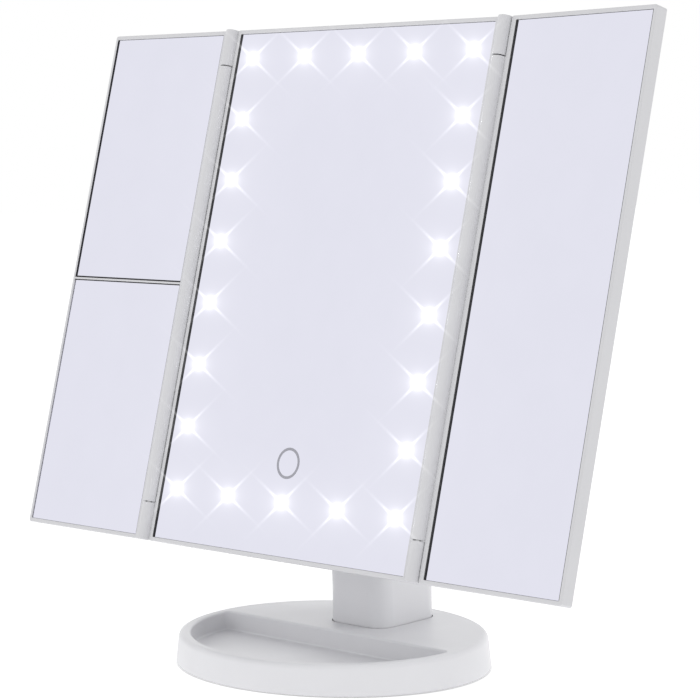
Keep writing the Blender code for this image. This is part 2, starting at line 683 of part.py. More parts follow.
def gasket_loops(left, right, low, high, first_side=GASKET):
    outer = (left + GASKET_PLAY, right - GASKET_PLAY, low + GASKET_PLAY, high - GASKET_PLAY)
    inner = (outer[0] + first_side, outer[1] - GASKET, outer[2] + GASKET, outer[3] - GASKET)
    back = GLASS_DEPTH + GLASS
    path = ((outer, GASKET_FRONT), (inner, GASKET_FRONT), (inner, back), (outer, back))
    return [upright(rounded_rectangle(*sides, RECESS_CORNER), at) for sides, at in path]


def glass_loops(left, right, low, high, first_side=GASKET):
    sides = (left + first_side + 2 * GASKET_PLAY, right - GLASS_EDGE, low + GLASS_EDGE, high - GLASS_EDGE)
    outline = rounded_rectangle(*sides, RECESS_CORNER)
    return [upright(outline, GLASS_DEPTH), upright(outline, GLASS_DEPTH + GLASS)]


def barrel_outline(x, reach):
    """Hinge barrel round (x, axis) with a web that runs reach along X to the frame it belongs to."""
    side = 1 if reach > 0 else -1
    turns = [1.5 * pi * i / 16 for i in range(17)]
    radius = BARREL_RADIUS
    sweep = [(x + side * radius * cos(turn), -AXIS_PROUD - radius * sin(turn)) for turn in turns]
    start = [(x + reach, WEB_FRONT), (x + side * (radius + EDGE / 4), WEB_FRONT)]
    return start + sweep + [(x + reach, radius - AXIS_PROUD)]


def along_hinge(outline, low, high):
    """An (x, depth) outline extruded along the hinge."""
    return [[(x, depth, z) for x, depth in outline] for z in (low, high)]


def build_centre_frame(head):
    half, rim = CENTRE_HALF, CENTRE_SIDE_RIM
    frame = head.make("centre_frame", lambda m: add_loft(
        m, framed(-half, half, -HALF_HEIGHT, HALF_HEIGHT, rim, rim, CENTRE_WALL_DEPTH), ring=True), WHITE)
    web = BARREL_RADIUS + BARREL_CLEAR + WEB_GRIP
    low, high = HALF_HEIGHT - KNUCKLE, HALF_HEIGHT - EDGE / 2

    def knuckles(mesh):
        for side in (-1, 1):
            outline = barrel_outline(side * HALF_SPAN, -side * web)
            add_loft(mesh, along_hinge(outline, low, high))
            add_loft(mesh, along_hinge(outline, -high, -low))

    def pin_holes(mesh):
        for side in (-1, 1):
            hole = circle(side * HALF_SPAN, -AXIS_PROUD, PIN_RADIUS + GAP, 12)
            add_loft(mesh, along_hinge(hole, low - REACH, HALF_HEIGHT - KNUCKLE_CAP))
            add_loft(mesh, along_hinge(hole, -HALF_HEIGHT - REACH, -low + REACH))

    def bosses(mesh):
        for x, z in COVER_SCREWS:
            outline = circle(x, z, COVER_BOSS, 16)
            add_loft(mesh, levels(outline, (LEDGE_DEPTH + GAP, CENTRE_WALL_DEPTH - GAP), upright))

    def boss_holes(mesh):
        for x, z in COVER_SCREWS:
            hole = circle(x, z, COVER_SCREW_RADIUS + GAP, 10)
            add_loft(mesh, levels(hole, (LEDGE_DEPTH + LEDGE_THICK, CENTRE_WALL_DEPTH + REACH), upright))

    head.fuse(frame, "knuckles", knuckles)
    head.cut(frame, "pin_holes", pin_holes)
    head.fuse(frame, "cover_bosses", bosses)
    head.cut(frame, "cover_boss_holes", boss_holes)
    recess = (-half + rim, half - rim, -HALF_HEIGHT + RIM, HALF_HEIGHT - RIM)
    head.make("centre_gasket", lambda m: add_loft(m, gasket_loops(*recess, WIDE_GASKET), ring=True), BLACK)
    head.make("centre_mirror", lambda m: add_loft(m, glass_loops(*recess, WIDE_GASKET)), SILVERED)
    for side, word in ((-1, "left"), (1, "right")):
        outline = circle(side * HALF_SPAN, -AXIS_PROUD, PIN_RADIUS, 12)
        head.make(f"{word}_hinge_pin_top", lambda m, o=outline: add_loft(
            m, along_hinge(o, PIN_INNER + GAP, HALF_HEIGHT - KNUCKLE_CAP - GAP)), STEEL)
        head.make(f"{word}_hinge_pin_bottom", lambda m, o=outline: add_loft(
            m, along_hinge(o, -HALF_HEIGHT + PIN_SHORT, -PIN_INNER - GAP)), STEEL)


def build_wing(word, side, hinge):
    wing = Frame(hinge, (0, AXIS_PROUD, 0))
    frame = wing.make(f"{word}_wing_frame", lambda m: add_loft(m, mirrored(framed(
        WING_START, WING_WIDTH, -HALF_HEIGHT, HALF_HEIGHT, WING_HINGE_RIM, WING_OUTER_RIM, WING_DEPTH),
        side), ring=True), WHITE)
    inner, outer = WING_START + WING_HINGE_RIM, WING_WIDTH - WING_OUTER_RIM
    low, high = -HALF_HEIGHT + RIM, HALF_HEIGHT - RIM
    recesses = {word: (inner, outer, low, high)}
    hinge_gasket = WIDE_GASKET if side > 0 else GASKET
    if side < 0:
        bar_low, bar_high = DIVIDER_HEIGHT - DIVIDER / 2, DIVIDER_HEIGHT + DIVIDER / 2
        recesses = {"left_upper": (inner, outer, bar_high, high), "left_lower": (inner, outer, low, bar_low)}
        start, end = -outer - RIM / 2, -inner + RIM / 2
        wing.fuse(frame, "divider_bar", lambda m: add_box(
            m, (start, DIVIDER_FRONT, bar_low), (end, LEDGE_DEPTH + LEDGE_THICK / 2, bar_high)))
        wing.fuse(frame, "divider_shelf", lambda m: add_box(
            m, (start, LEDGE_DEPTH, bar_low - LEDGE),
            (end, LEDGE_DEPTH + LEDGE_THICK - GAP / 3, bar_high + LEDGE)))
    web = WING_START + WEB_GRIP
    wing.fuse(frame, f"{word}_barrel", lambda m: add_loft(
        m, along_hinge(barrel_outline(0, side * web), -BARREL_END, BARREL_END)))

    def pin_holes(mesh):
        hole = circle(0, -AXIS_PROUD, PIN_RADIUS + GAP, 12)
        add_loft(mesh, along_hinge(hole, PIN_INNER, BARREL_END + REACH))
        add_loft(mesh, along_hinge(hole, -BARREL_END - REACH, -PIN_INNER))

    wing.cut(frame, f"{word}_pin_holes", pin_holes)
    for name, recess in recesses.items():
        wing.make(f"{name}_gasket", lambda m, r=recess: add_loft(
            m, mirrored(gasket_loops(*r, hinge_gasket), side), ring=True), BLACK)
        wing.make(f"{name}_mirror", lambda m, r=recess: add_loft(
            m, mirrored(glass_loops(*r, hinge_gasket), side)), SILVERED)
    back = rounded_rectangle(inner + GAP, outer - GAP, low + GAP, high - GAP, RECESS_CORNER)
    wing.make(f"{word}_wing_back", lambda m: add_loft(
        m, mirrored(levels(back, (WING_DEPTH - WING_BACK, WING_DEPTH), upright), side)), WHITE)


# ---- lamps, touch key and control board ---------------------------------------------
def build_lamps(head):
    lamp_front = GLASS_DEPTH + GLASS + GAP
    strip_front = lamp_front + LAMP_THICK
    columns = [LAMP_COLUMN * (2 * i / (LAMPS_ACROSS - 1) - 1) for i in range(LAMPS_ACROSS)]
    rows = [LAMP_BOTTOM + LAMP_STEP * (i + 1) for i in range(LAMPS_BETWEEN)]
    strips = {
        "lamp_strip_top": [(x, LAMP_TOP) for x in columns],
        "lamp_strip_bottom": [(x, LAMP_BOTTOM) for x in columns],
        "lamp_strip_left": [(-LAMP_COLUMN, z) for z in rows],
        "lamp_strip_right": [(LAMP_COLUMN, z) for z in rows],
    }
    half = STRIP_WIDTH / 2
    for name, lamps in strips.items():
        low = (min(x for x, _ in lamps) - half, min(z for _, z in lamps) - half)
        high = (max(x for x, _ in lamps) + half, max(z for _, z in lamps) + half)
        strip = head.make(name, lambda m, a=low, b=high: add_box(
            m, (a[0], strip_front, a[1]), (b[0], strip_front + STRIP_THICK, b[1])), LAMP_WHITE)

        def lamp_blocks(mesh, lamps=lamps):
            for x, z in lamps:
                add_box(mesh, (x - LAMP / 2, lamp_front, z - LAMP / 2),
                        (x + LAMP / 2, strip_front + STRIP_THICK / 2, z + LAMP / 2))

        head.fuse(strip, name + "_lamps", lamp_blocks)
    head.make("touch_sensor", lambda m: add_loft(m, levels(
        circle(0, TOUCH_HEIGHT, TOUCH_RADIUS, 24), (lamp_front, lamp_front + TOUCH_THICK), upright)), BOARD)


def build_control(head):
    board_back = BOARD_DEPTH + BOARD_THICK
    mount = board_back + GAP
    head.make("control_board", lambda m: add_box(
        m, (BOARD_X - BOARD_WIDTH / 2, BOARD_DEPTH, BOARD_Z - BOARD_HEIGHT / 2),
        (BOARD_X + BOARD_WIDTH / 2, board_back, BOARD_Z + BOARD_HEIGHT / 2)), BOARD)
    half, high = SOCKET_WIDTH / 2, SOCKET_HEIGHT / 2
    socket = head.make("charging_socket", lambda m: add_box(
        m, (SOCKET_X - half, mount, BOARD_Z - high),
        (SOCKET_X + half, COVER_BACK - GAP, BOARD_Z + high)), STEEL)
    head.cut(socket, "socket_mouth", lambda m: add_box(
        m, (SOCKET_X - half + SOCKET_WALL, mount + SOCKET_BACK, BOARD_Z - high + SOCKET_WALL),
        (SOCKET_X + half - SOCKET_WALL, COVER_BACK + REACH, BOARD_Z + high - SOCKET_WALL)))
    body_back = COVER_FRONT - GAP
    head.make("switch_body", lambda m: add_box(
        m, (SWITCH_X - SWITCH_WIDTH / 2, mount, BOARD_Z - SWITCH_HEIGHT / 2),
        (SWITCH_X + SWITCH_WIDTH / 2, body_back - GAP, BOARD_Z + SWITCH_HEIGHT / 2)), BLACK)


def build_slider(slider_axis):
    slider = Frame(slider_axis)
    low = COVER_FRONT - GAP
    half, high = SLIDER_WIDTH / 2, SLIDER_HEIGHT / 2
    outline = rounded_rectangle(-half, half, -high, high, SLIDER_CORNER)
    slider.make("power_slider", lambda m: add_loft(
        m, levels(outline, (low, COVER_BACK + SLIDER_PROUD), upright)), BLACK)


# ---- back cover and battery bay -----------------------------------------------------
def bay_outline(outset, corner):
    return rounded_rectangle(
        -BAY_HALF_WIDTH - outset, BAY_HALF_WIDTH + outset,
        BAY_MIDDLE - BAY_HALF_HEIGHT - outset, BAY_MIDDLE + BAY_HALF_HEIGHT + outset, corner, 4)


def build_back_cover(head):
    half = CENTRE_HALF
    sides = (-half, half, -HALF_HEIGHT, HALF_HEIGHT)
    soft = BACK_EDGE

    def skin(mesh):
        shrunk = (-half + soft, half - soft, -HALF_HEIGHT + soft, HALF_HEIGHT - soft)
        add_loft(mesh, [
            upright(rounded_rectangle(*sides, CORNER), COVER_FRONT),
            upright(rounded_rectangle(*sides, CORNER), COVER_BACK - soft),
            upright(rounded_rectangle(*shrunk, CORNER), COVER_BACK)])

    cover = head.make("centre_back_cover", skin, WHITE)
    head.fuse(cover, "battery_housing", lambda m: add_loft(m, [
        upright(bay_outline(BAY_WALL, BAY_CORNER), BAY_FLOOR_DEPTH),
        upright(bay_outline(BAY_WALL, BAY_CORNER), HOUSING_BACK - BAY_EDGE),
        upright(bay_outline(BAY_WALL - BAY_EDGE, BAY_CORNER), HOUSING_BACK)]))
    head.cut(cover, "battery_bay", lambda m: add_loft(m, levels(
        bay_outline(0, BAY_CORNER - BAY_WALL), (BAY_INSIDE, HOUSING_BACK + REACH), upright)))
    counterbore = COVER_BACK - COVER_COUNTERBORE

    def openings(mesh):
        for x, z in COVER_SCREWS:
            add_loft(mesh, screw_levels(x, z, COVER_SCREW_RADIUS + GAP, COVER_SCREW_HEAD + GAP,
                                        (COVER_BACK + REACH, counterbore, COVER_FRONT - REACH), upright))
        for x, z in BRACKET_SCREWS:
            add_loft(mesh, levels(circle(x, z - PIVOT_BELOW, COVER_SCREW_RADIUS + GAP, 12),
                                  (COVER_FRONT - REACH, COVER_BACK + REACH), upright))
        socket = (SOCKET_WIDTH / 2 + GAP, SOCKET_HEIGHT / 2 + GAP)
        add_box(mesh, (SOCKET_X - socket[0], COVER_FRONT - REACH, BOARD_Z - socket[1]),
                (SOCKET_X + socket[0], COVER_BACK + REACH, BOARD_Z + socket[1]))
        slot, tall = SLIDER_WIDTH / 2 + 2 * GAP, SLIDER_HEIGHT / 2 + GAP
        add_box(mesh, (SWITCH_X - slot - SLIDER_TRAVEL, COVER_FRONT - REACH, BOARD_Z - tall),
                (SWITCH_X + slot, COVER_BACK + REACH, BOARD_Z + tall))

    head.cut(cover, "cover_openings", openings)
    for number, (x, z) in enumerate(COVER_SCREWS, 1):
        depths = (COVER_BACK - GAP / 3, counterbore + GAP, LEDGE_DEPTH + LEDGE_THICK + 2 * GAP)
        head.make(f"cover_screw_{number}", lambda m, x=x, z=z, d=depths: add_loft(
            m, screw_levels(x, z, COVER_SCREW_RADIUS, COVER_SCREW_HEAD, d, upright, 10)), STEEL)

    for word, side in (("upper", 1), ("lower", -1)):
        edge = BAY_MIDDLE + side * (BAY_HALF_HEIGHT - GAP)
        inner = edge - side * CONTACT
        contact = head.make(f"battery_contact_{word}", lambda m, a=edge, b=inner: add_box(
            m, (-BAY_HALF_WIDTH + BAY_CORNER, BAY_INSIDE + GAP, min(a, b)),
            (BAY_HALF_WIDTH - BAY_CORNER, DOOR_FRONT - 4 * GAP, max(a, b))), STEEL)

        def studs(mesh, edge=edge, inner=inner, side=side):
            for i in range(CELLS):
                x = CELL_DIAMETER * (i - (CELLS - 1) / 2)
                depth = BAY_INSIDE + GAP + CELL_DIAMETER / 2
                tip = inner - side * (CONTACT_ROOM - CONTACT - 4 * GAP)
                add_loft(mesh, [[(px, py, z) for px, py in circle(x, depth, radius, 12)] for radius, z in (
                    (STUD_FOOT, edge - side * CONTACT / 2), (STUD_TIP, tip))])

        head.fuse(contact, f"contact_studs_{word}", studs)


def build_battery_door(door_axis):
    door = Frame(door_axis)
    outline = bay_outline(-GAP, BAY_CORNER - BAY_WALL)
    lid = door.make("battery_cover", lambda m: add_loft(
        m, levels(outline, (DOOR_FRONT, HOUSING_BACK), upright)), WHITE)

    def grip(mesh):
        for i in range(GRIPS):
            z = BAY_MIDDLE + BAY_HALF_HEIGHT - GRIP_START - GRIP_STEP * i
            add_box(mesh, (-GRIP_HALF_LENGTH, HOUSING_BACK - GRIP_DEPTH, z - GRIP_HALF_WIDTH),
                    (GRIP_HALF_LENGTH, HOUSING_BACK + REACH, z + GRIP_HALF_WIDTH))

    door.cut(lid, "grip_grooves", grip)


# ---- assembly -----------------------------------------------------------------------
def clear_scene():
    for piece in list(bpy.data.objects):
        bpy.data.objects.remove(piece, do_unlink=True)


def main():
    clear_scene()
    base = build_base()
    build_neck(base)
    tilt_axis = empty("tilt_axis", (0, PIVOT_Y, PIVOT_Z), turn=(-TILT, 0, 0))
    panel_origin = (0, -PIVOT_BEHIND, PIVOT_BELOW)
    head = Frame(tilt_axis, panel_origin)
    build_tilt_hinge(head)
    build_centre_frame(head)
    build_back_cover(head)
    build_lamps(head)
    build_control(head)
    axis_depth = -PIVOT_BEHIND - AXIS_PROUD
    for word, side, fold in (("left", -1, LEFT_FOLD), ("right", 1, RIGHT_FOLD)):
        place = (side * HALF_SPAN, axis_depth, PIVOT_BELOW)
        build_wing(word, side, empty(f"{word}_hinge_axis", place, tilt_axis, (0, 0, -side * fold)))
    slider_place = (SWITCH_X, panel_origin[1], panel_origin[2] + BOARD_Z)
    build_slider(empty("slider_axis", slider_place, tilt_axis))
    build_battery_door(empty("door_axis", panel_origin, tilt_axis))


main()
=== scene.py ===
import json
from math import asin, cos, pi, radians, sin

import bmesh
import bpy
from mathutils import Matrix, Vector


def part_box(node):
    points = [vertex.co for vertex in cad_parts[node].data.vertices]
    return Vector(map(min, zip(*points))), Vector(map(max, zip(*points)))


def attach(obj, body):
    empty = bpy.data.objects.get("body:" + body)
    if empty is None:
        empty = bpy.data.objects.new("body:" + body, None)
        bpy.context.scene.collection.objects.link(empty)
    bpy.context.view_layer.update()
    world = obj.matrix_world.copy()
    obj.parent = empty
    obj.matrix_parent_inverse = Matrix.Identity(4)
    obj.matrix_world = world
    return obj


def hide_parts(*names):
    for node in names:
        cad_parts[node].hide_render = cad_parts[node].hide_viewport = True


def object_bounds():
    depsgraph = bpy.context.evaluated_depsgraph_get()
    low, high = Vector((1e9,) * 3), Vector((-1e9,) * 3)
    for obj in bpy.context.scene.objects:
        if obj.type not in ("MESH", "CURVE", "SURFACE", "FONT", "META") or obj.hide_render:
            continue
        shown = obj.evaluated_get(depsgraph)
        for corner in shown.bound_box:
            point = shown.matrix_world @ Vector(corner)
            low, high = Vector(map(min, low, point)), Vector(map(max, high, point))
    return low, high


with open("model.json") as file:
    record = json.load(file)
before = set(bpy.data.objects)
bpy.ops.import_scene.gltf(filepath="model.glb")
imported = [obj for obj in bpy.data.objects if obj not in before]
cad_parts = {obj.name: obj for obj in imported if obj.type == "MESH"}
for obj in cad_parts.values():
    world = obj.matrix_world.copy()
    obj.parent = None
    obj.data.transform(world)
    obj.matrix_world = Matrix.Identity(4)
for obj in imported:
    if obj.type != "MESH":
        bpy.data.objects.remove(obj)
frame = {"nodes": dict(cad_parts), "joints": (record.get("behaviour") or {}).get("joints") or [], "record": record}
cadLow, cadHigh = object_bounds()
nodes = frame["nodes"]
joints = {joint["name"]: joint for joint in frame["joints"]}
print("frame loaded:", len(nodes), "CAD nodes")

fitGap = 0.0003        # play between pieces that touch on the real mirror
gasketPlay = 0.00005   # between a gasket and the frame round it
throughCut = 0.004     # how far a cutting shape runs past the face that it opens


# places are measured on the CAD nodes and joints
def matrixFrom(across, back, up, origin):
    matrix = Matrix((across, back, up)).transposed().to_4x4()
    matrix.translation = origin
    return matrix


def boxIn(matrix, *names):      # lowest and highest corner of CAD nodes, in another frame
    turn = matrix.inverted()
    points = [turn @ vertex.co for name in names for vertex in nodes[name].data.vertices]
    return (Vector([min(point[i] for point in points) for i in range(3)]),
            Vector([max(point[i] for point in points) for i in range(3)]))


leftHinge = Vector(joints["left_wing_fold"]["pos_m"])
rightHinge = Vector(joints["right_wing_fold"]["pos_m"])
pivot = Vector(joints["head_tilt"]["pos_m"])
panelUp = Vector(joints["left_wing_fold"]["axis"]).normalized()
panelAcross = (rightHinge - leftHinge).normalized()
panelBack = panelUp.cross(panelAcross)
hingeMiddle = (leftHinge + rightHinge) / 2
panelHalfSpan = (rightHinge - leftHinge).length / 2
axisProud = 0.00025    # hinge axes in front of the rim plane
panel = matrixFrom(panelAcross, panelBack, panelUp, hingeMiddle + panelBack * axisProud)
wings = {}             # each wing's own frame: X away from the hinge, Y back, Z up
for word, side in (("left", -1), ("right", 1)):
    fold = radians(joints[word + "_wing_fold"]["range_deg"][0])
    wings[word] = (panel @ Matrix.Translation((side * panelHalfSpan, -axisProud, 0))
                   @ Matrix.Rotation(side * fold, 4, "Z") @ Matrix.Translation((0, axisProud, 0)))
world = Matrix.Identity(4)
baseOnly = bpy.data.collections.new("baseOnly")         # the pieces that the low fill lights reach


def hexLinear(text):
    parts = [int(text[i:i + 2], 16) / 255 for i in (1, 3, 5)]
    return tuple(c / 12.92 if c <= 0.04045 else ((c + 0.055) / 1.055) ** 2.4 for c in parts) + (1.0,)


def addNode(tree, kind, settings, inputs):     # inputs: values, or sockets to link from
    node = tree.nodes.new(kind)
    for name, value in settings.items():
        setattr(node, name, value)
    for name, value in inputs.items():
        if isinstance(value, bpy.types.NodeSocket):
            tree.links.new(value, node.inputs[name])
        else:
            node.inputs[name].default_value = value
    return node


def newMaterial(name, **values):
    material = bpy.data.materials.new(name)
    material.use_nodes = True
    tree = material.node_tree
    shader = tree.nodes["Principled BSDF"]
    for socket, value in values.items():
        shader.inputs[socket.replace("_", " ")].default_value = value
    place = addNode(tree, "ShaderNodeTexCoord", {}, {}).outputs["Object"]
    return material, tree, shader, place


def perMetre(millimetres):      # a noise scale from the size of its grains
    return 1000 / millimetres


def noiseField(tree, place, millimetres, detail=2.0):
    return addNode(tree, "ShaderNodeTexNoise", {}, {
        "Vector": place, "Scale": perMetre(millimetres), "Detail": detail}).outputs["Fac"]


def spread(tree, field, low, high, start=0.35, end=0.65):
    return addNode(tree, "ShaderNodeMapRange", {}, {
        "Value": field, "From Min": start, "From Max": end, "To Min": low, "To Max": high}).outputs["Result"]


def mixColours(tree, field, first, second):
    node = addNode(tree, "ShaderNodeMix", {"data_type": "RGBA"}, {"Factor": field})
    colours = [socket for socket in node.inputs if socket.type == "RGBA"]
    for socket, value in zip(colours, (first, second)):
        if isinstance(value, bpy.types.NodeSocket):
            tree.links.new(value, socket)
        else:
            socket.default_value = hexLinear(value)
    return [socket for socket in node.outputs if socket.type == "RGBA"][0]


def addBump(tree, shader, height, strength, millimetres):
    bump = addNode(tree, "ShaderNodeBump", {}, {
        "Height": height, "Strength": strength, "Distance": millimetres / 1000})
    tree.links.new(bump.outputs["Normal"], shader.inputs["Normal"])


absLook = {
    "base": ("#D6D6D9", "#D4D4D7", "#747477"),      # colour, slow shade, painted shade deep in a seam
    "head": ("#D5D5D8", "#D3D3D6", "#ACACAE"),
    "grain": 0.45,              # mm; the mould's fine spark texture is 0.1 mm, drawn coarser so that it shows
    "flow": 24.0,               # mm; slow change of gloss over a moulding
    "gloss": (0.34, 0.38),      # roughness range
    "bump": 0.006,              # mm
    "seamShadeReach": 0.0012,
}


def mouldedAbs(name, colour, shade, seamShadeColour):
    # satin white, a soft wide highlight and no visible grain at arm's length
    material, tree, shader, place = newMaterial(name, IOR=1.53, Coat_Weight=0.10, Coat_Roughness=0.18)
    flow = noiseField(tree, place, absLook["flow"], 3.0)
    tone = mixColours(tree, spread(tree, flow, 0, 1), colour, shade)
    # painted shade: ambient occlusion darkens the colour towards the seam shade colour in seams, creases and
    # recesses
    seamShade = addNode(tree, "ShaderNodeAmbientOcclusion", {"samples": 8}, {"Distance": absLook["seamShadeReach"]})
    depth = spread(tree, seamShade.outputs["AO"], 1.0, 0.0, 0.10, 0.62)
    tree.links.new(mixColours(tree, depth, tone, seamShadeColour), shader.inputs["Base Color"])
    fine = noiseField(tree, place, absLook["grain"], 2.0)
    tree.links.new(spread(tree, flow, *absLook["gloss"]), shader.inputs["Roughness"])
    addBump(tree, shader, fine, 0.35, absLook["bump"])
    return material


mirrorLook = {"tint": "#E3E3EF", "wave": 60.0, "waveDepth": 0.0004, "film": (0.010, 0.035)}


def silveredGlass():            # float glass silvered at the back: a clean reflection, faintly violet
    material, tree, shader, place = newMaterial("floatGlassMirror", Metallic=1.0)
    haze = noiseField(tree, place, 18.0, 4.0)
    tree.links.new(spread(tree, haze, *mirrorLook["film"]), shader.inputs["Roughness"])
    tree.links.new(mixColours(tree, spread(tree, haze, 0, 1), mirrorLook["tint"], "#E2E2EE"),
                   shader.inputs["Base Color"])
    addBump(tree, shader, noiseField(tree, place, mirrorLook["wave"], 0.0), 0.2, mirrorLook["waveDepth"])
    return material


def plainFinish(name, light, dark, grain, gloss, bump, metallic=0.0, ior=1.5):
    material, tree, shader, place = newMaterial(name, Metallic=metallic, IOR=ior)
    field = noiseField(tree, place, grain, 3.0)
    tree.links.new(mixColours(tree, spread(tree, field, 0, 1), light, dark), shader.inputs["Base Color"])
    tree.links.new(spread(tree, field, *gloss), shader.inputs["Roughness"])
    addBump(tree, shader, field, 0.5, bump)
    return material


lampLook = {"sides": 40, "proud": 0.00004, "thick": 0.00006, "power": 60.0,
            "rings": (0.0003, 0.0005, 0.0007, 0.0012, 0.0018, 0.0024, 0.0028, 0.0030),
            "glow": (1.0, 1.0, 0.10, 0.060, 0.055, 0.048, 0.040, 0.030)}     # share of the power at each ring


def etchedLamp():               # frosted window lit from behind: burnt-out middle, softer towards its edge
    material, tree, shader, place = newMaterial("etchedLampGlass", IOR=1.5, Roughness=0.6)
    glow = addNode(tree, "ShaderNodeAttribute", {"attribute_name": "glow"}, {}).outputs["Fac"]
    frost = spread(tree, noiseField(tree, place, 0.3), 0.94, 1.06)
    power = addNode(tree, "ShaderNodeMath", {"operation": "MULTIPLY"}, {0: glow, 1: frost}).outputs[0]
    strength = addNode(tree, "ShaderNodeMath", {"operation": "MULTIPLY"}, {0: power, 1: lampLook["power"]})
    tree.links.new(strength.outputs[0], shader.inputs["Emission Strength"])
    shader.inputs["Emission Color"].default_value = hexLinear("#FFFFFF")
    tree.links.new(mixColours(tree, glow, "#E6E6F0", "#FFFFFF"), shader.inputs["Base Color"])
    return material


whiteAbs = mouldedAbs("mouldedAbsWhite", *absLook["base"])
bezelAbs = mouldedAbs("mouldedAbsBezel", *absLook["head"])     # the head's copy of the same white is a shade greyer, as painted shade, and its painted seam shade is lighter
mirrorGlass = silveredGlass()
lampGlass = etchedLamp()
finishes = {
    # foams take the light flat and near black, with no highlight
    "gasket_foam": plainFinish("evaFoamGasket", "#2A2A2E", "#17171A", 0.35, (0.75, 0.95), 0.02),
    # bare steel is a cold grey: sharp glints on the pins, softer on the screws, dull on the sawn slab
    "screw_steel": plainFinish("zincPlatedSteel", "#B9BABD", "#A2A3A6", 0.8, (0.22, 0.38), 0.004, 1.0),
    "hinge_steel": plainFinish("drawnSteelPin", "#C2C3C5", "#A9AAAC", 0.6, (0.18, 0.30), 0.003, 1.0),
    "weight_steel": plainFinish("sawnSteelSlab", "#8C8D90", "#6E6F72", 2.0, (0.40, 0.60), 0.020, 1.0),
    "eva_pad": plainFinish("evaFoamPad", "#35363A", "#26272A", 0.5, (0.80, 0.95), 0.030),
    # milky washers, chalky lamp strips and a board with a soft green shine
    "nylon_washer": plainFinish("nylonWasher", "#DEDCD4", "#D2D0C8", 1.2, (0.40, 0.55), 0.004),
    "lamp_white": plainFinish("ledStripWhite", "#F4F4F0", "#E6E6E0", 1.5, (0.35, 0.50), 0.004),
    "circuit_board": plainFinish("solderMaskGreen", "#1E6B3C", "#175530", 1.0, (0.30, 0.45), 0.010),
    # nickel shines warmer than the steel; the black switch is satin, with little colour of its own
    "socket_steel": plainFinish("nickelPlatedShell", "#C9C8C4", "#B2B1AD", 0.7, (0.20, 0.32), 0.003, 1.0),
    "switch_black": plainFinish("mouldedAbsBlack", "#1D1D1F", "#151517", 0.6, (0.45, 0.60), 0.008, 0.0, 1.53),
    "contact_plate": plainFinish("nickelPlatedContact", "#CFCDC6", "#B9B7B0", 0.9, (0.22, 0.34), 0.003, 1.0),
}
printedGrey = plainFinish("screenPrintedGrey", "#A3A3AC", "#9999A2", 0.5, (0.45, 0.60), 0.002)
print("materials made:", len(bpy.data.materials))


def roundedOutline(left, right, low, high, radius, steps=8):
    corners = ((right - radius, high - radius, 0), (left + radius, high - radius, 90),
               (left + radius, low + radius, 180), (right - radius, low + radius, 270))
    return [(x + radius * cos(radians(start + 90 * i / steps)),
             y + radius * sin(radians(start + 90 * i / steps)))
            for x, y, start in corners for i in range(steps + 1)]


def circle(x, y, radius, sides=48):
    turns = [2 * pi * i / sides for i in range(sides)]
    return [(x + radius * cos(turn), y + radius * sin(turn)) for turn in turns]


def flat(outline, height):
    return [(x, y, height) for x, y in outline]


def upright(outline, depth):
    return [(x, depth, z) for x, z in outline]


def sideways(outline, x):
    return [(x, y, z) for y, z in outline]


def grown(sides, by):           # left, right, low, high
    return (sides[0] - by, sides[1] + by, sides[2] - by, sides[3] + by)


def roundOver(steps=4):         # (inward, onward) shares of a quarter round
    return [(1 - cos(pi / 2 * i / steps), sin(pi / 2 * i / steps)) for i in range(steps + 1)]


def slabProfile(front, back, soft, steps=4):    # (inset, depth) from a square front to a rounded back edge
    edge = [(soft * inward, back - soft + soft * onward) for inward, onward in roundOver(steps)]
    return [(0, front)] + edge


def addLoft(mesh, loops, ring=False):
    rows = [[mesh.verts.new(point) for point in loop] for loop in loops]
    count = len(rows[0])
    pairs = list(zip(rows, rows[1:]))
    if ring:
        pairs.append((rows[-1], rows[0]))
    else:
        mesh.faces.new(rows[0])
        mesh.faces.new(rows[-1])
    for near, far in pairs:
        for i in range(count):
            j = (i + 1) % count
            mesh.faces.new((near[i], near[j], far[j], far[i]))


def addSlab(mesh, sides, radius, profile, steps=8):
    addLoft(mesh, [upright(roundedOutline(*grown(sides, -inset), radius - inset, steps), y)
                   for inset, y in profile])


def meshObject(name, build, place):
    mesh = bmesh.new()
    build(mesh)
    bmesh.ops.transform(mesh, matrix=place, verts=mesh.verts)
    bmesh.ops.recalc_face_normals(mesh, faces=mesh.faces)
    data = bpy.data.meshes.new(name)
    mesh.to_mesh(data)
    mesh.free()
    piece = bpy.data.objects.new(name, data)
    bpy.context.scene.collection.objects.link(piece)
    return piece


def carve(piece, operation, build, place):     # a Boolean that is applied at once, so no cutter is left
    cutter = meshObject(piece.name + "Cutter", build, place)
    modifier = piece.modifiers.new("carve", "BOOLEAN")
    modifier.operation = operation
    modifier.object = cutter
    modifier.solver = "EXACT"
    bpy.context.view_layer.update()
    evaluated = piece.evaluated_get(bpy.context.evaluated_depsgraph_get())
    carved = bpy.data.meshes.new_from_object(evaluated)
    piece.modifiers.clear()
    piece.data = carved
    bpy.data.objects.remove(cutter, do_unlink=True)


def finishPiece(piece, material, body, replaced=(), sharp=28):
    piece.data.materials.clear()
    piece.data.materials.append(material)
    tidy = bmesh.new()
    tidy.from_mesh(piece.data)
    bmesh.ops.remove_doubles(tidy, verts=tidy.verts, dist=1e-6)
    bmesh.ops.dissolve_degenerate(tidy, edges=tidy.edges, dist=1e-6)
    tidy.to_mesh(piece.data)
    tidy.free()
    piece.data.shade_smooth()
    piece.data.set_sharp_from_angle(angle=radians(sharp))
    weighted = piece.modifiers.new("faceWeighted", "WEIGHTED_NORMAL")
    weighted.keep_sharp = True
    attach(piece, body)
    if replaced:
        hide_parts(*replaced)
    if body == "base":
        baseOnly.objects.link(piece)


cameraLook = {"azimuth": 44.48, "elevation": 5.17, "roll": -0.84, "distance": 1.0978, "lens": 127.84,
              "aim": (0.0053, 0.0086, -0.0026)}      # from the middle of the CAD box


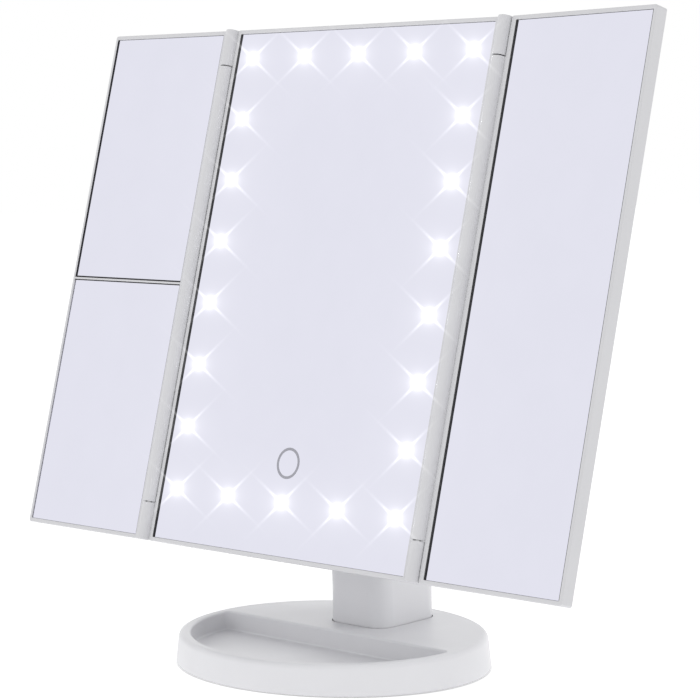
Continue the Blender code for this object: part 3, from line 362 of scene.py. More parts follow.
def makeCamera():
    azimuth, elevation, roll = (radians(cameraLook[key]) for key in ("azimuth", "elevation", "roll"))
    back = Vector((sin(azimuth) * cos(elevation), -cos(azimuth) * cos(elevation), sin(elevation)))
    right = Vector((cos(azimuth), sin(azimuth), 0))
    up = back.cross(right)
    rolledRight = right * cos(roll) + up * sin(roll)
    rolledUp = up * cos(roll) - right * sin(roll)
    middle = (cadLow + cadHigh) / 2
    camera = bpy.data.objects.new("productCamera", bpy.data.cameras.new("productCamera"))
    bpy.context.scene.collection.objects.link(camera)
    origin = middle + Vector(cameraLook["aim"]) + back * cameraLook["distance"]
    camera.matrix_world = matrixFrom(rolledRight, rolledUp, back, origin)
    camera.data.lens = cameraLook["lens"]
    camera.data.sensor_width = 36.0
    camera.data.clip_start, camera.data.clip_end = 0.01, 20.0
    bpy.context.scene.camera = camera


makeCamera()
print("camera set; CAD box middle", [round(v, 5) for v in (cadLow + cadHigh) / 2])


trayLow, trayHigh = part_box("base_tray")
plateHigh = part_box("base_plate")[1]
neckLow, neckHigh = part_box("neck_shell")
baseShape = {
    "halfWide": trayHigh.x, "halfDeep": trayHigh.y, "foot": trayLow.z,
    "height": 0.0146, "slope": 1.5,           # height at the middle; share gained per metre towards the back
    "taper": 0.0012, "shoulder": 0.0026, "rim": 0.0055,
    "wallY": 0.0010, "trayFloor": 0.0057, "trayCorner": 0.0025, "lip": 0.0011, "fillet": 0.0010,
    "wall": 0.0020, "ceiling": 0.0102, "neckPocket": neckLow.z - fitGap, "footSeam": 0.00045,
}


def ovalOutline(inset, sides=192):
    wide, deep = baseShape["halfWide"] - inset, baseShape["halfDeep"] - inset
    return [(wide * cos(2 * pi * i / sides), deep * sin(2 * pi * i / sides)) for i in range(sides)]


def partOval(wide, deep, wallY, corner, sides=96, steps=8):     # the oval in front of a straight wall
    cornerY = wallY - corner
    turn = asin(cornerY / deep)
    cornerX = wide * cos(turn) - corner
    right = [(cornerX + corner * cos(pi / 2 * i / steps), cornerY + corner * sin(pi / 2 * i / steps))
             for i in range(steps + 1)]
    left = [(-x, y) for x, y in reversed(right)]
    sweep = pi + 2 * turn
    front = [(wide * cos(pi - turn + sweep * i / sides), deep * sin(pi - turn + sweep * i / sides))
             for i in range(1, sides)]
    return right + left + front


def leaned(outline, height):
    return [(x, y, height * (1 + baseShape["slope"] * y)) for x, y in outline]


def trayOutline(outset):
    inset = baseShape["taper"] + baseShape["rim"]
    return partOval(baseShape["halfWide"] - inset + outset, baseShape["halfDeep"] - inset + outset,
                    baseShape["wallY"] + outset, baseShape["trayCorner"] + outset)


def plateauOutline():
    inset = baseShape["taper"] + baseShape["rim"]
    wallY = -(baseShape["wallY"] + baseShape["lip"] + baseShape["wall"])
    outline = partOval(baseShape["halfWide"] - inset, baseShape["halfDeep"] - inset, wallY,
                       baseShape["trayCorner"])
    return [(x, -y) for x, y in reversed(outline)]


def neckFootOutline(clearance):
    return roundedOutline(neckShape["footLeft"] - clearance, -neckShape["footLeft"] + clearance,
                          neckShape["front"] - clearance, neckShape["back"] + clearance,
                          neckShape["corner"] + clearance, 12)


neckShape = {
    "footLeft": neckLow.x, "front": 0.0137, "back": neckHigh.y, "corner": 0.0080,
    "straight": 0.0300,         # height where the column starts to sweep forward
    "knuckle": 0.0115, "knuckleHalf": 0.0135, "washer": 0.0093,
    "sideWall": 0.0034, "frontWall": 0.0024, "floor": 0.0080, "openTop": 0.0840, "cover": 0.0020,
    "bore": 0.0033, "innerCorner": 0.55,            # share of the outer corner
}


def buildBaseShell():
    shape = baseShape
    top, soft = shape["height"], shape["shoulder"]

    def shell(mesh):
        loops = [leaned(ovalOutline(0.0002), shape["foot"]), leaned(ovalOutline(0), shape["foot"] + 0.0004)]
        loops += [leaned(ovalOutline(shape["taper"] + soft * inward), top - soft + soft * onward)
                  for inward, onward in roundOver(8)]
        addLoft(mesh, loops)

    def tray(mesh):
        fillet, lip, floor = shape["fillet"], shape["lip"], shape["trayFloor"]
        loops = [flat(trayOutline(-fillet * (1 - outward)), floor + fillet * onward)
                 for onward, outward in roundOver(6)]
        loops += [leaned(trayOutline(lip * inward), top - lip + lip * onward)
                  for inward, onward in roundOver(8)]
        loops.append(leaned(trayOutline(lip), top + throughCut))
        addLoft(mesh, loops)

    inside = plateHigh.z + fitGap
    base = meshObject("base_shell", shell, world)
    carve(base, "DIFFERENCE", tray, world)
    carve(base, "DIFFERENCE", lambda m: addLoft(
        m, [flat(ovalOutline(shape["wall"]), h) for h in (-throughCut, inside)]), world)
    carve(base, "DIFFERENCE", lambda m: addLoft(
        m, [flat(plateauOutline(), h) for h in (inside - fitGap, shape["ceiling"])]), world)
    carve(base, "DIFFERENCE", lambda m: addLoft(
        m, [flat(neckFootOutline(shape["footSeam"]), h)
            for h in (shape["neckPocket"], top + throughCut)]), world)
    finishPiece(base, whiteAbs, "base", ("base_tray",))


buildBaseShell()
print("base shell made")


def sweepForward(height):       # 0 at the straight foot to 1 at the pivot
    share = min(max((height - neckShape["straight"]) / (pivot.z - neckShape["straight"]), 0), 1)
    return share * share * (3 - 2 * share)


def neckSection(height, side=0.0, front=0.0, back=0.0, corner=0.0):
    shape, share = neckShape, sweepForward(height)
    # the full width is gone below the washers
    narrowed = min(share / sweepForward(pivot.z - shape["washer"]), 1)
    half = -shape["footLeft"] + (shape["knuckleHalf"] + shape["footLeft"]) * narrowed
    frontY = shape["front"] + (pivot.y - shape["knuckle"] - shape["front"]) * share
    backY = shape["back"] + (pivot.y + shape["knuckle"] - shape["back"]) * share
    return roundedOutline(-half + side, half - side, frontY + front, backY - back,
                          shape["corner"] * (1 - share / 2) - corner, 12)


def neckLevels(low, high, count):
    return [low + (high - low) * i / count for i in range(count + 1)]


def neckSolid(mesh):
    heights = [neckLow.z] + neckLevels(neckShape["straight"], pivot.z - fitGap, 28)
    addLoft(mesh, [flat(neckSection(height), height) for height in heights])


def buildNeck():
    shape = neckShape
    low = neckLow.z + shape["floor"]
    shell = meshObject("neck_column", neckSolid, world)
    carve(shell, "UNION", lambda m: addLoft(m, [
        sideways(circle(pivot.y, pivot.z, shape["knuckle"] - inset, 96), x) for inset, x in (
            (0.0004, -shape["knuckleHalf"]), (0, -shape["knuckleHalf"] + 0.0004),
            (0, shape["knuckleHalf"] - 0.0004), (0.0004, shape["knuckleHalf"]))]), world)
    carve(shell, "DIFFERENCE", lambda m: addLoft(m, [
        flat(neckSection(height, shape["sideWall"], shape["frontWall"], -throughCut,
                         shape["corner"] * shape["innerCorner"]), height)
        for height in [low] + neckLevels(shape["straight"], shape["openTop"], 20)]), world)
    carve(shell, "DIFFERENCE", lambda m: addLoft(m, [
        sideways(circle(pivot.y, pivot.z, shape["bore"], 40), s * 0.03) for s in (-1, 1)]), world)
    finishPiece(shell, whiteAbs, "base", ("neck_shell",))

    cover = meshObject("neck_back_cover", neckSolid, world)

    def region(mesh):
        loops = []
        for height in [low + fitGap] + neckLevels(shape["straight"], shape["openTop"] - fitGap, 20):
            outline = neckSection(height)
            backY = max(y for _, y in outline)
            half = max(x for x, _ in outline) - shape["sideWall"] - fitGap
            loops.append(flat([(-half, backY - shape["cover"]), (half, backY - shape["cover"]),
                               (half, backY + throughCut), (-half, backY + throughCut)], height))
        addLoft(mesh, loops)

    carve(cover, "INTERSECT", region, world)
    finishPiece(cover, whiteAbs, "base", ("neck_rear_cover",))


buildNeck()
print("neck made")


frameLook = {
    "outerRound": 0.0005, "innerRound": 0.00018, "corner": 0.0012, "recessCorner": 0.0004,
    "ledge": 0.0030, "ledgeThick": 0.0012, "centreDepth": 0.0125, "wingDepth": 0.0066, "arris": 0.00006,
    "barSunk": 0.00005,                     # the bar's face behind the rim
    "barSlim": 0.00025, "paneDown": 0.00013, "paneUp": 0.00008,     # the bar gives the gaskets' lips room
}
barrelLook = {"proud": axisProud, "webFront": 0.00015, "webGrip": 0.0006, "knuckle": 0.0172, "split": 0.0005,
              "endRound": 0.00025, "bore": 0.0015, "cap": 0.0030,
              "closer": 0.0002}     # the frames' side walls are drawn this much nearer the barrels
coverLow, coverHigh = boxIn(panel, "centre_back_cover")
halfHeight = coverHigh.z
wingStart = panelHalfSpan - coverHigh.x         # hinge axis to a wing's own frame
barrelRadius = -boxIn(wings["right"], "right_wing_frame")[0].x
glassLow, glassHigh = boxIn(panel, "centre_mirror")
ledgeDepth = glassHigh.y + fitGap


def recessOf(matrix, node, side=1):            # the opening that a gasket lines
    low, high = boxIn(matrix, node)
    left, right = (low.x, high.x) if side > 0 else (-high.x, -low.x)
    return grown((left, right, low.z, high.z), gasketPlay)


def addFrame(mesh, outer, recess, depth, side=1):
    look = frameLook
    soft, fine, corner, inner = look["outerRound"], look["innerRound"], look["corner"], look["recessCorner"]
    shelf, ledgeBack = grown(recess, -look["ledge"]), ledgeDepth + look["ledgeThick"]
    path = [(grown(outer, -soft * inward), corner - soft * inward, soft * (1 - onward))
            for inward, onward in roundOver(4)]
    path += [(grown(recess, fine * (1 - onward)), inner + fine * (1 - onward), fine * inward)
             for inward, onward in roundOver(3)]
    path += [(recess, inner, ledgeDepth), (shelf, inner, ledgeDepth), (shelf, inner, ledgeBack),
             (recess, inner, ledgeBack), (recess, inner, depth)]
    path += [(grown(outer, soft * (onward - 1)), corner + soft * (onward - 1), depth - soft * inward)
             for inward, onward in roundOver(3)]
    loops = [upright(roundedOutline(*sides, radius), at) for sides, radius, at in path]
    addLoft(mesh, [[(side * x, y, z) for x, y, z in loop] for loop in loops], ring=True)


def barrelOutline(x, reach, inset=0.0, sides=36):
    side = 1 if reach > 0 else -1
    radius = barrelRadius - inset
    proud, web = barrelLook["proud"], barrelLook["webFront"] + inset
    turns = [1.5 * pi * i / sides for i in range(sides + 1)]
    sweep = [(x + side * radius * cos(turn), -proud - radius * sin(turn)) for turn in turns]
    return [(x + reach, web), (x + side * (radius + 0.0001), web)] + sweep + [(x + reach, -proud + radius)]


def addBarrel(mesh, x, reach, low, high):
    soft = barrelLook["endRound"]
    ends = [(soft * (1 - onward), low + soft * inward) for inward, onward in roundOver(3)]
    ends += [(inset, low + high - z) for inset, z in reversed(ends)]
    addLoft(mesh, [[(px, depth, z) for px, depth in barrelOutline(x, reach, inset)] for inset, z in ends])


def buildCentreFrame():
    look = barrelLook
    outer = (coverLow.x - look["closer"], coverHigh.x + look["closer"], -halfHeight, halfHeight)
    recess = recessOf(panel, "centre_gasket")
    piece = meshObject("centre_bezel", lambda m: addFrame(m, outer, recess, frameLook["centreDepth"]), panel)
    web = panelHalfSpan - coverHigh.x + look["webGrip"]
    low, high = halfHeight - look["knuckle"], halfHeight - 0.0002

    def knuckles(mesh):
        for side in (-1, 1):
            addBarrel(mesh, side * panelHalfSpan, -side * web, low, high)
            addBarrel(mesh, side * panelHalfSpan, -side * web, -high, -low)

    def bores(mesh):
        for side in (-1, 1):
            hole = circle(side * panelHalfSpan, -look["proud"], look["bore"], 24)
            for start, end in ((low - throughCut, halfHeight - look["cap"]),
                               (-halfHeight - throughCut, -low + throughCut)):
                addLoft(mesh, [[(x, depth, z) for x, depth in hole] for z in (start, end)])

    carve(piece, "UNION", knuckles, panel)
    carve(piece, "DIFFERENCE", bores, panel)
    finishPiece(piece, bezelAbs, "head", ("centre_frame",))


def buildWingFrame(word, side, gaskets):
    matrix, look = wings[word], barrelLook
    low, high = boxIn(matrix, word + "_wing_frame")
    reach = high.x if side > 0 else -low.x
    outer = (wingStart - look["closer"], reach, -halfHeight, halfHeight)
    recesses = [recessOf(matrix, node, side) for node in gaskets]
    whole = (recesses[0][0], recesses[0][1], min(r[2] for r in recesses), max(r[3] for r in recesses))
    piece = meshObject(word + "_wing_bezel", lambda m: addFrame(
        m, outer, whole, frameLook["wingDepth"], side), matrix)
    barEnd = halfHeight - look["knuckle"] - look["split"]
    if len(recesses) > 1:                      # the bar between the two mirrors, with its shelf
        barLow = min(r[3] for r in recesses) + frameLook["barSlim"]
        barHigh = max(r[2] for r in recesses) - frameLook["barSlim"]
        thick = frameLook["ledgeThick"]
        left, right = sorted((side * (whole[0] - 0.001), side * (whole[1] + 0.001)))
        fine = frameLook["innerRound"]

        def bar(mesh):
            sunk = frameLook["barSunk"]
            levels = ((fine, sunk), (fine * 0.3, sunk + fine * 0.3), (0, sunk + fine),
                      (0, ledgeDepth + thick / 2))
            addLoft(mesh, [[(left, y, barLow + i), (right, y, barLow + i), (right, y, barHigh - i),
                            (left, y, barHigh - i)] for i, y in levels])

        def shelf(mesh):
            wide = frameLook["ledge"]
            addLoft(mesh, [[(left, y, barLow - wide), (right, y, barLow - wide), (right, y, barHigh + wide),
                            (left, y, barHigh + wide)] for y in (ledgeDepth, ledgeDepth + thick - 0.0001)])

        carve(piece, "UNION", bar, matrix)
        carve(piece, "UNION", shelf, matrix)
    carve(piece, "UNION", lambda m: addBarrel(
        m, 0, side * (wingStart + look["webGrip"]), -barEnd, barEnd), matrix)

    def bores(mesh):
        pinLow, _ = boxIn(matrix, word + "_hinge_pin_top")
        hole = circle(0, -look["proud"], look["bore"], 24)
        for start, end in ((pinLow.z - fitGap, barEnd + throughCut),
                           (-barEnd - throughCut, -pinLow.z + fitGap)):
            addLoft(mesh, [[(x, depth, z) for x, depth in hole] for z in (start, end)])

    carve(piece, "DIFFERENCE", bores, matrix)
    finishPiece(piece, bezelAbs, word + "_wing", (word + "_wing_frame",))


def buildMirror(node, matrix, body):           # a slab of glass with its edges ground off
    low, high = boxIn(matrix, node)
    arris = frameLook["arris"]
    sides = (low.x, high.x, low.z - frameLook["paneDown"], high.z + frameLook["paneUp"])
    path = ((arris, low.y), (0, low.y + arris), (0, high.y - arris), (arris, high.y))
    piece = meshObject(node.replace("mirror", "glass"), lambda m: addSlab(
        m, sides, frameLook["recessCorner"], path), matrix)
    finishPiece(piece, mirrorGlass, body, (node,))


gasketLips = {                  # strips that stand proud of the glass; elsewhere the foam sits level with it
    "centre_gasket": {"left": 0.0008}, "right_gasket": {"left": 0.0008, "right": 0.00030},
    "left_upper_gasket": {"left": 0.00045, "low": 0.00070, "right": 0.00020},
    "left_lower_gasket": {"high": 0.00040, "right": 0.00020},
}
gasketSunk = 0.00002    # level foam behind the glass's face


def buildGasket(node, mirrorNode, matrix, body):
    low, high = boxIn(matrix, node)
    paneLow, paneHigh = boxIn(matrix, mirrorNode)
    outer = (low.x - gasketPlay, high.x + gasketPlay, low.z - gasketPlay, high.z + gasketPlay)
    pane = (paneLow.x, paneHigh.x, paneLow.z, paneHigh.z)
    level = paneLow.y + gasketSunk
    lips, slim = gasketLips[node], frameLook["barSlim"]

    def foam(mesh):
        path = ((outer, level), (pane, level), (pane, high.y), (outer, high.y))
        addLoft(mesh, [upright(roundedOutline(*sides, frameLook["recessCorner"], 4), y)
                       for sides, y in path], ring=True)
        left, right, bottom, top = outer
        for word, wide in lips.items():
            sides = {"left": (left, left + wide, bottom, top), "right": (right - wide, right, bottom, top),
                     "low": (left, right, bottom - slim, bottom - slim + wide),
                     "high": (left, right, top + slim - wide, top + slim)}[word]
            soft = wide * 0.2
            addLoft(mesh, [upright(roundedOutline(*grown(sides, -inset), soft, 4), y) for inset, y in (
                (0, paneLow.y - gasketSunk), (0, low.y + soft), (soft * 0.7, low.y))])

    piece = meshObject(node + "_foam", foam, matrix)
    finishPiece(piece, finishes["gasket_foam"], body, (node,))


buildCentreFrame()
buildWingFrame("left", -1, ("left_upper_gasket", "left_lower_gasket"))
buildWingFrame("right", 1, ("right_gasket",))
for word, matrix, body in (("centre", panel, "head"), ("left_upper", wings["left"], "left_wing"),
                           ("left_lower", wings["left"], "left_wing"),
                           ("right", wings["right"], "right_wing")):
    buildMirror(word + "_mirror", matrix, body)
    buildGasket(word + "_gasket", word + "_mirror", matrix, body)
print("frames, mirrors and gaskets made")


lampCounts = {"lamp_strip_top": 5, "lamp_strip_bottom": 5, "lamp_strip_left": 6, "lamp_strip_right": 6}


def lampCentres(node, count):
    low, high = boxIn(panel, node)
    half = min(high.x - low.x, high.z - low.z) / 2
    first, last = (low.x + half, low.z + half), (high.x - half, high.z - half)
    return [(first[0] + (last[0] - first[0]) * i / (count - 1),
             first[1] + (last[1] - first[1]) * i / (count - 1)) for i in range(count)]


def buildLampWindows(node, count):
    look = lampLook
    front = glassLow.y - look["proud"]
    centres = lampCentres(node, count)

    def windows(mesh):
        for x, z in centres:
            loops = [upright(circle(x, z, radius, look["sides"]), front) for radius in look["rings"]]
            loops.append(upright(circle(x, z, look["rings"][-1], look["sides"]), front + look["thick"]))
            addLoft(mesh, loops)

    piece = meshObject(node.replace("lamp_strip", "lamp_windows"), windows, panel)
    glow = piece.data.attributes.new("glow", "FLOAT", "POINT")
    turn = panel.inverted()
    for i, vertex in enumerate(piece.data.vertices):
        point = turn @ vertex.co
        off = min(((point.x - x) ** 2 + (point.z - z) ** 2) ** 0.5 for x, z in centres)
        ring = min(range(len(look["rings"])), key=lambda k: abs(look["rings"][k] - off))
        glow.data[i].value = look["glow"][ring]
    piece.data.materials.append(lampGlass)
    piece.data.shade_smooth()
    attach(piece, "head")


for node, count in lampCounts.items():
    buildLampWindows(node, count)


ringLook = {"outer": 0.0069, "line": 0.0012, "proud": 0.00004, "thick": 0.00006}


def buildTouchRing():           # printed ring over the touch sensor
    low, high = boxIn(panel, "touch_sensor")
    x, z = (low.x + high.x) / 2, (low.z + high.z) / 2
    front = glassLow.y - ringLook["proud"]
    outer, inner = ringLook["outer"], ringLook["outer"] - ringLook["line"]
    back = front + ringLook["thick"]
    path = ((inner, front), (outer, front), (outer, back), (inner, back))
    piece = meshObject("touch_ring", lambda m: addLoft(
        m, [upright(circle(x, z, radius, 96), y) for radius, y in path], ring=True), panel)
    finishPiece(piece, printedGrey, "head")


buildTouchRing()
print("lamps and touch ring made")


backLook = {"skinRound": 0.0009, "housingRound": 0.0009, "bayWall": 0.0017, "bayCorner": 0.0040,
            "counterbore": 0.0014, "headClear": 0.0003, "grips": 4, "gripStep": 0.0022, "gripHalf": 0.0090,
            "skin": 0.0022, "bayFloor": 0.0013, "screwBore": 0.0013, "lidRound": 0.0004}


def buildBackCover():
    look = backLook
    lidLow, lidHigh = boxIn(panel, "battery_cover")
    bay = grown((lidLow.x, lidHigh.x, lidLow.z, lidHigh.z), fitGap)
    bayFloor = coverLow.y + look["bayFloor"]
    skinFront = boxIn(panel, "hinge_bracket")[0].y - fitGap - look["skin"]
    skinBack = skinFront + look["skin"]
    sides = (coverLow.x, coverHigh.x, coverLow.z, coverHigh.z)

    def skin(mesh):
        profile = slabProfile(skinFront, skinBack, look["skinRound"], 5)
        addSlab(mesh, sides, frameLook["corner"] + look["skinRound"], profile)

    def housing(mesh):
        loops = slabProfile(coverLow.y, coverHigh.y, look["housingRound"], 5)
        addLoft(mesh, [upright(roundedOutline(*grown(bay, look["bayWall"] - inset),
                                              look["bayCorner"] - inset, 12), y) for inset, y in loops])

    cover = meshObject("back_shell", skin, panel)
    carve(cover, "UNION", housing, panel)
    carve(cover, "DIFFERENCE", lambda m: addLoft(m, [
        upright(roundedOutline(*bay, look["bayCorner"] - look["bayWall"], 12), y)
        for y in (bayFloor, coverHigh.y + throughCut)]), panel)

    def openings(mesh):
        for number in range(1, 7):
            low, high = boxIn(panel, f"cover_screw_{number}")
            x, z = (low.x + high.x) / 2, (low.z + high.z) / 2
            head = (high.x - low.x) / 2 + look["headClear"]
            seat = skinBack - look["counterbore"]
            path = ((head + 0.0003, skinBack + 0.0001), (head, skinBack - 0.0002), (head, seat),
                    (look["screwBore"], seat), (look["screwBore"], skinFront - throughCut))
            addLoft(mesh, [upright(circle(x, z, radius, 32), y) for radius, y in path])
        for number in range(1, 5):
            low, high = boxIn(panel, f"bracket_screw_{number}")
            middle = (low + high) / 2
            addLoft(mesh, [upright(circle(middle.x, middle.z, look["screwBore"], 24), y)
                           for y in (skinFront - throughCut, skinBack + throughCut)])
        slide = joints["power_switch_slide"]["range_m"][1]
        for node, spare, travel in (("charging_socket", 0.0003, 0.0), ("power_slider", 0.0006, slide)):
            low, high = boxIn(panel, node)
            opening = (low.x - spare - travel, high.x + spare, low.z - 0.0003, high.z + 0.0003)
            path = ((0.0003, skinBack + 0.0001), (0, skinBack - 0.0002), (0, skinFront - throughCut))
            addLoft(mesh, [upright(roundedOutline(*grown(opening, outset), 0.0004 + outset, 4), y)
                           for outset, y in path])

    carve(cover, "DIFFERENCE", openings, panel)
    finishPiece(cover, bezelAbs, "head", ("centre_back_cover",))

    outline = (lidLow.x, lidHigh.x, lidLow.z, lidHigh.z)
    corner = look["bayCorner"] - look["bayWall"] - fitGap

    def lid(mesh):
        addSlab(mesh, outline, corner, slabProfile(lidLow.y, lidHigh.y, look["lidRound"]), 12)

    def grips(mesh):
        for i in range(look["grips"]):
            z = lidHigh.z - 0.0057 - look["gripStep"] * i
            profile = ((0.0008, lidHigh.y + 0.0003), (0.0005, lidHigh.y), (0.0003, lidHigh.y - 0.0004),
                       (0.00015, lidHigh.y - 0.0005))
            reach = look["gripHalf"]
            addLoft(mesh, [upright(roundedOutline(-reach - half, reach + half, z - half, z + half,
                                                  half * 0.98, 6), y) for half, y in profile])

    door = meshObject("battery_lid_cover", lid, panel)
    carve(door, "DIFFERENCE", grips, panel)
    finishPiece(door, bezelAbs, "battery_lid", ("battery_cover",))


wingBackLook = {"round": 0.0003, "corner": 0.0004}


def buildWingBack(word):
    matrix = wings[word]
    low, high = boxIn(matrix, word + "_wing_back")
    sides = (low.x, high.x, low.z, high.z)
    profile = slabProfile(low.y, high.y, wingBackLook["round"], 3)
    piece = meshObject(word + "_wing_panel", lambda m: addSlab(
        m, sides, wingBackLook["corner"], profile, 4), matrix)
    finishPiece(piece, bezelAbs, word + "_wing", (word + "_wing_back",))


buildBackCover()
buildWingBack("left")
buildWingBack("right")
print("back covers made")


bracketLook = {"plate": 0.0036, "plateCorner": 0.0020, "ear": 0.0060, "earRadius": 0.0105, "earFoot": 0.0150,
               "round": 0.0006, "bore": 0.0033, "headBore": 0.0058, "screwHead": 0.0022, "screwDepth": 0.0017,
               "screwBore": 0.0013, "earIn": 0.0012}        # the plate's sides reach this far past the ears


def buildBracket():
    look = bracketLook
    low, high = boxIn(panel, "hinge_bracket")
    local = panel.inverted() @ pivot
    plateBack = low.y + look["plate"]
    earOuter = high.x - look["earIn"]
    soft = look["round"]

    def plate(mesh):
        sides = (low.x, high.x, low.z, high.z)
        addSlab(mesh, sides, look["plateCorner"], slabProfile(low.y, plateBack, soft))

    def earOutline(inset):
        start, radius = low.y + look["plate"] / 2, look["earRadius"] - inset
        arc = [(local.y + radius * sin(pi * i / 40), local.z - radius * cos(pi * i / 40)) for i in range(41)]
        foot = look["earFoot"]
        return [(start, local.z - foot + inset)] + arc + [(start, local.z + foot - inset)]

    bracket = meshObject("tilt_bracket", plate, panel)
    seat = boxIn(panel, "tilt_nut")[0].x - fitGap
    for side in (-1, 1):
        inner = side * (earOuter - look["ear"])
        outer = side * earOuter

        def ear(mesh):
            loops = [(soft * 0.6 * (1 - s), inner + side * soft * 0.6 * (1 - c)) for s, c in (
                (sin(pi / 2 * i / 3), cos(pi / 2 * i / 3)) for i in range(4))]
            loops += [(soft * inward, outer - side * soft * (1 - onward)) for inward, onward in roundOver(4)]
            addLoft(mesh, [sideways(earOutline(inset), x) for inset, x in loops])

        def bore(mesh):
            path = ((look["bore"], inner - side * 0.001), (look["bore"], side * seat),
                    (look["headBore"], side * seat), (look["headBore"], outer + side * throughCut))
            addLoft(mesh, [sideways(circle(local.y, local.z, radius), x) for radius, x in path])

        carve(bracket, "UNION", ear, panel)
        carve(bracket, "DIFFERENCE", bore, panel)

    def screwHoles(mesh):
        for number in range(1, 5):
            a, b = boxIn(panel, f"bracket_screw_{number}")
            x, z = (a.x + b.x) / 2, (a.z + b.z) / 2
            seat = plateBack - look["screwDepth"]
            path = ((look["screwHead"], plateBack + throughCut), (look["screwHead"], seat),
                    (look["screwBore"], seat), (look["screwBore"], low.y - throughCut))
            addLoft(mesh, [upright(circle(x, z, radius, 32), y) for radius, y in path])

    carve(bracket, "DIFFERENCE", screwHoles, panel)
    finishPiece(bracket, bezelAbs, "head", ("hinge_bracket",))

    for word, side in (("left", -1), ("right", 1)):
        a, b = boxIn(panel, "bolt_cap_" + word)
        start, end = (a.x, b.x) if side > 0 else (b.x, a.x)
        radius = (b.z - a.z) / 2
        dome = [(radius, start), (radius, start + (end - start) * 0.5)]
        dome += [(radius * cos(pi / 2 * i / 10) ** 0.5 if i < 10 else 0.0002,
                  start + (end - start) * (0.5 + 0.5 * sin(pi / 2 * i / 10))) for i in range(1, 11)]
        cap = meshObject("pivot_cap_" + word, lambda m: addLoft(
            m, [sideways(circle(local.y, local.z, r, 64), x) for r, x in dome]), panel)
        finishPiece(cap, bezelAbs, "head", ("bolt_cap_" + word,))


buildBracket()
print("tilt hinge made")


screwLook = {"crown": 0.00035, "slotDeep": 0.0007, "slotWide": 0.00042, "slotLong": 0.72}


def screwPiece(name, sources, matrix, body, outward):
    # pan-head screws with a cross recess; outward is the local direction that the head faces
    turn = outward.to_track_quat("Z", "Y").to_matrix().to_4x4()
    look = screwLook

    def placed(node):
        low, high = boxIn(matrix @ turn, node)
        top = Vector(((low.x + high.x) / 2, (low.y + high.y) / 2, high.z))
        return top, (high.x - low.x) / 2, high.z - low.z

    def bodies(mesh):
        for node in sources:
            top, head, length = placed(node)
            thick = min(0.0011, length * 0.3)
            shank = head * 0.52
            loops = [(0.00005, top.z), (head * 0.45, top.z - 0.00004),
                     (head * 0.75, top.z - look["crown"] * 0.35),
                     (head * 0.94, top.z - look["crown"] * 0.8), (head, top.z - look["crown"] * 1.4),
                     (head, top.z - thick), (shank, top.z - thick), (shank, top.z - length)]
            addLoft(mesh, [flat(circle(top.x, top.y, radius, 40), z) for radius, z in loops])

    def crosses(mesh):
        for node in sources:
            top, head, _ = placed(node)
            long, wide = head * look["slotLong"], look["slotWide"] / 2
            corners = [(long, -wide), (long, wide), (wide, wide), (wide, long), (-wide, long), (-wide, wide),
                       (-long, wide), (-long, -wide), (-wide, -wide), (-wide, -long), (wide, -long),
                       (wide, -wide)]
            levels = ((1.0, throughCut / 4), (1.0, -look["slotDeep"] * 0.3), (0.45, -look["slotDeep"]))
            addLoft(mesh, [[(top.x + x * (share if abs(x) > wide else 1),
                             top.y + y * (share if abs(y) > wide else 1), top.z + z) for x, y in corners]
                           for share, z in levels])

    piece = meshObject(name, bodies, matrix @ turn)
    carve(piece, "DIFFERENCE", crosses, matrix @ turn)
    finishPiece(piece, finishes["screw_steel"], body, sources)


screwPiece("cover_screws", [f"cover_screw_{i}" for i in range(1, 7)], panel, "head", Vector((0, 1, 0)))
screwPiece("bracket_screws", [f"bracket_screw_{i}" for i in range(1, 5)], panel, "head", Vector((0, 1, 0)))
screwPiece("base_screws", [f"base_screw_{i}" for i in range(1, 5)], world, "base", Vector((0, 0, -1)))


switchLook = {"round": 0.0003, "corner": 0.0004, "ribs": 3, "ribHalf": 0.0003, "ribDeep": 0.0005}
socketLook = {"tongueInset": 0.0018, "sunk": 0.0008}


def buildSwitchAndSocket():
    low, high = boxIn(panel, "power_slider")
    sides = (low.x, high.x, low.z, high.z)

    def knob(mesh):
        profile = slabProfile(low.y, high.y, switchLook["round"])
        addLoft(mesh, [upright(roundedOutline(*grown(sides, -inset), switchLook["corner"], 4), y)
                       for inset, y in profile])

    def ribs(mesh):
        below, above = low.z - 0.001, high.z + 0.001
        levels = ((switchLook["ribHalf"], high.y + 0.0002), (0.00012, high.y - switchLook["ribDeep"]))
        for i in range(switchLook["ribs"]):
            x = low.x + (high.x - low.x) * (i + 1) / (switchLook["ribs"] + 1)
            addLoft(mesh, [upright([(x - w, below), (x + w, below), (x + w, above), (x - w, above)], y)
                           for w, y in levels])

    slider = meshObject("slide_knob", knob, panel)
    carve(slider, "DIFFERENCE", ribs, panel)
    finishPiece(slider, finishes["switch_black"], "power_switch", ("power_slider",))

    low, high = boxIn(panel, "charging_socket")
    middle = (low + high) / 2

    def blade(mesh):
        inset = socketLook["tongueInset"]
        addLoft(mesh, [upright(roundedOutline(low.x + inset, high.x - inset, middle.z - 0.0001,
                                              middle.z + 0.0006, 0.0001, 2), y)
                       for y in (low.y + 0.0013, high.y - socketLook["sunk"])])

    piece = meshObject("socket_tongue", blade, panel)
    finishPiece(piece, finishes["switch_black"], "head")


buildSwitchAndSocket()
print("small parts made")


# CAD pieces that stay get the finish of their slot
slotFinish = dict(finishes, white_abs=whiteAbs, mirror_glass=mirrorGlass)
slotOf = {row["node"]: row["material_slot"] for row in frame["record"]["subparts"]}
for name, piece in nodes.items():
    if not piece.hide_render:
        piece.data.materials.clear()
        piece.data.materials.append(slotFinish[slotOf[name]])
print("CAD finishes given")


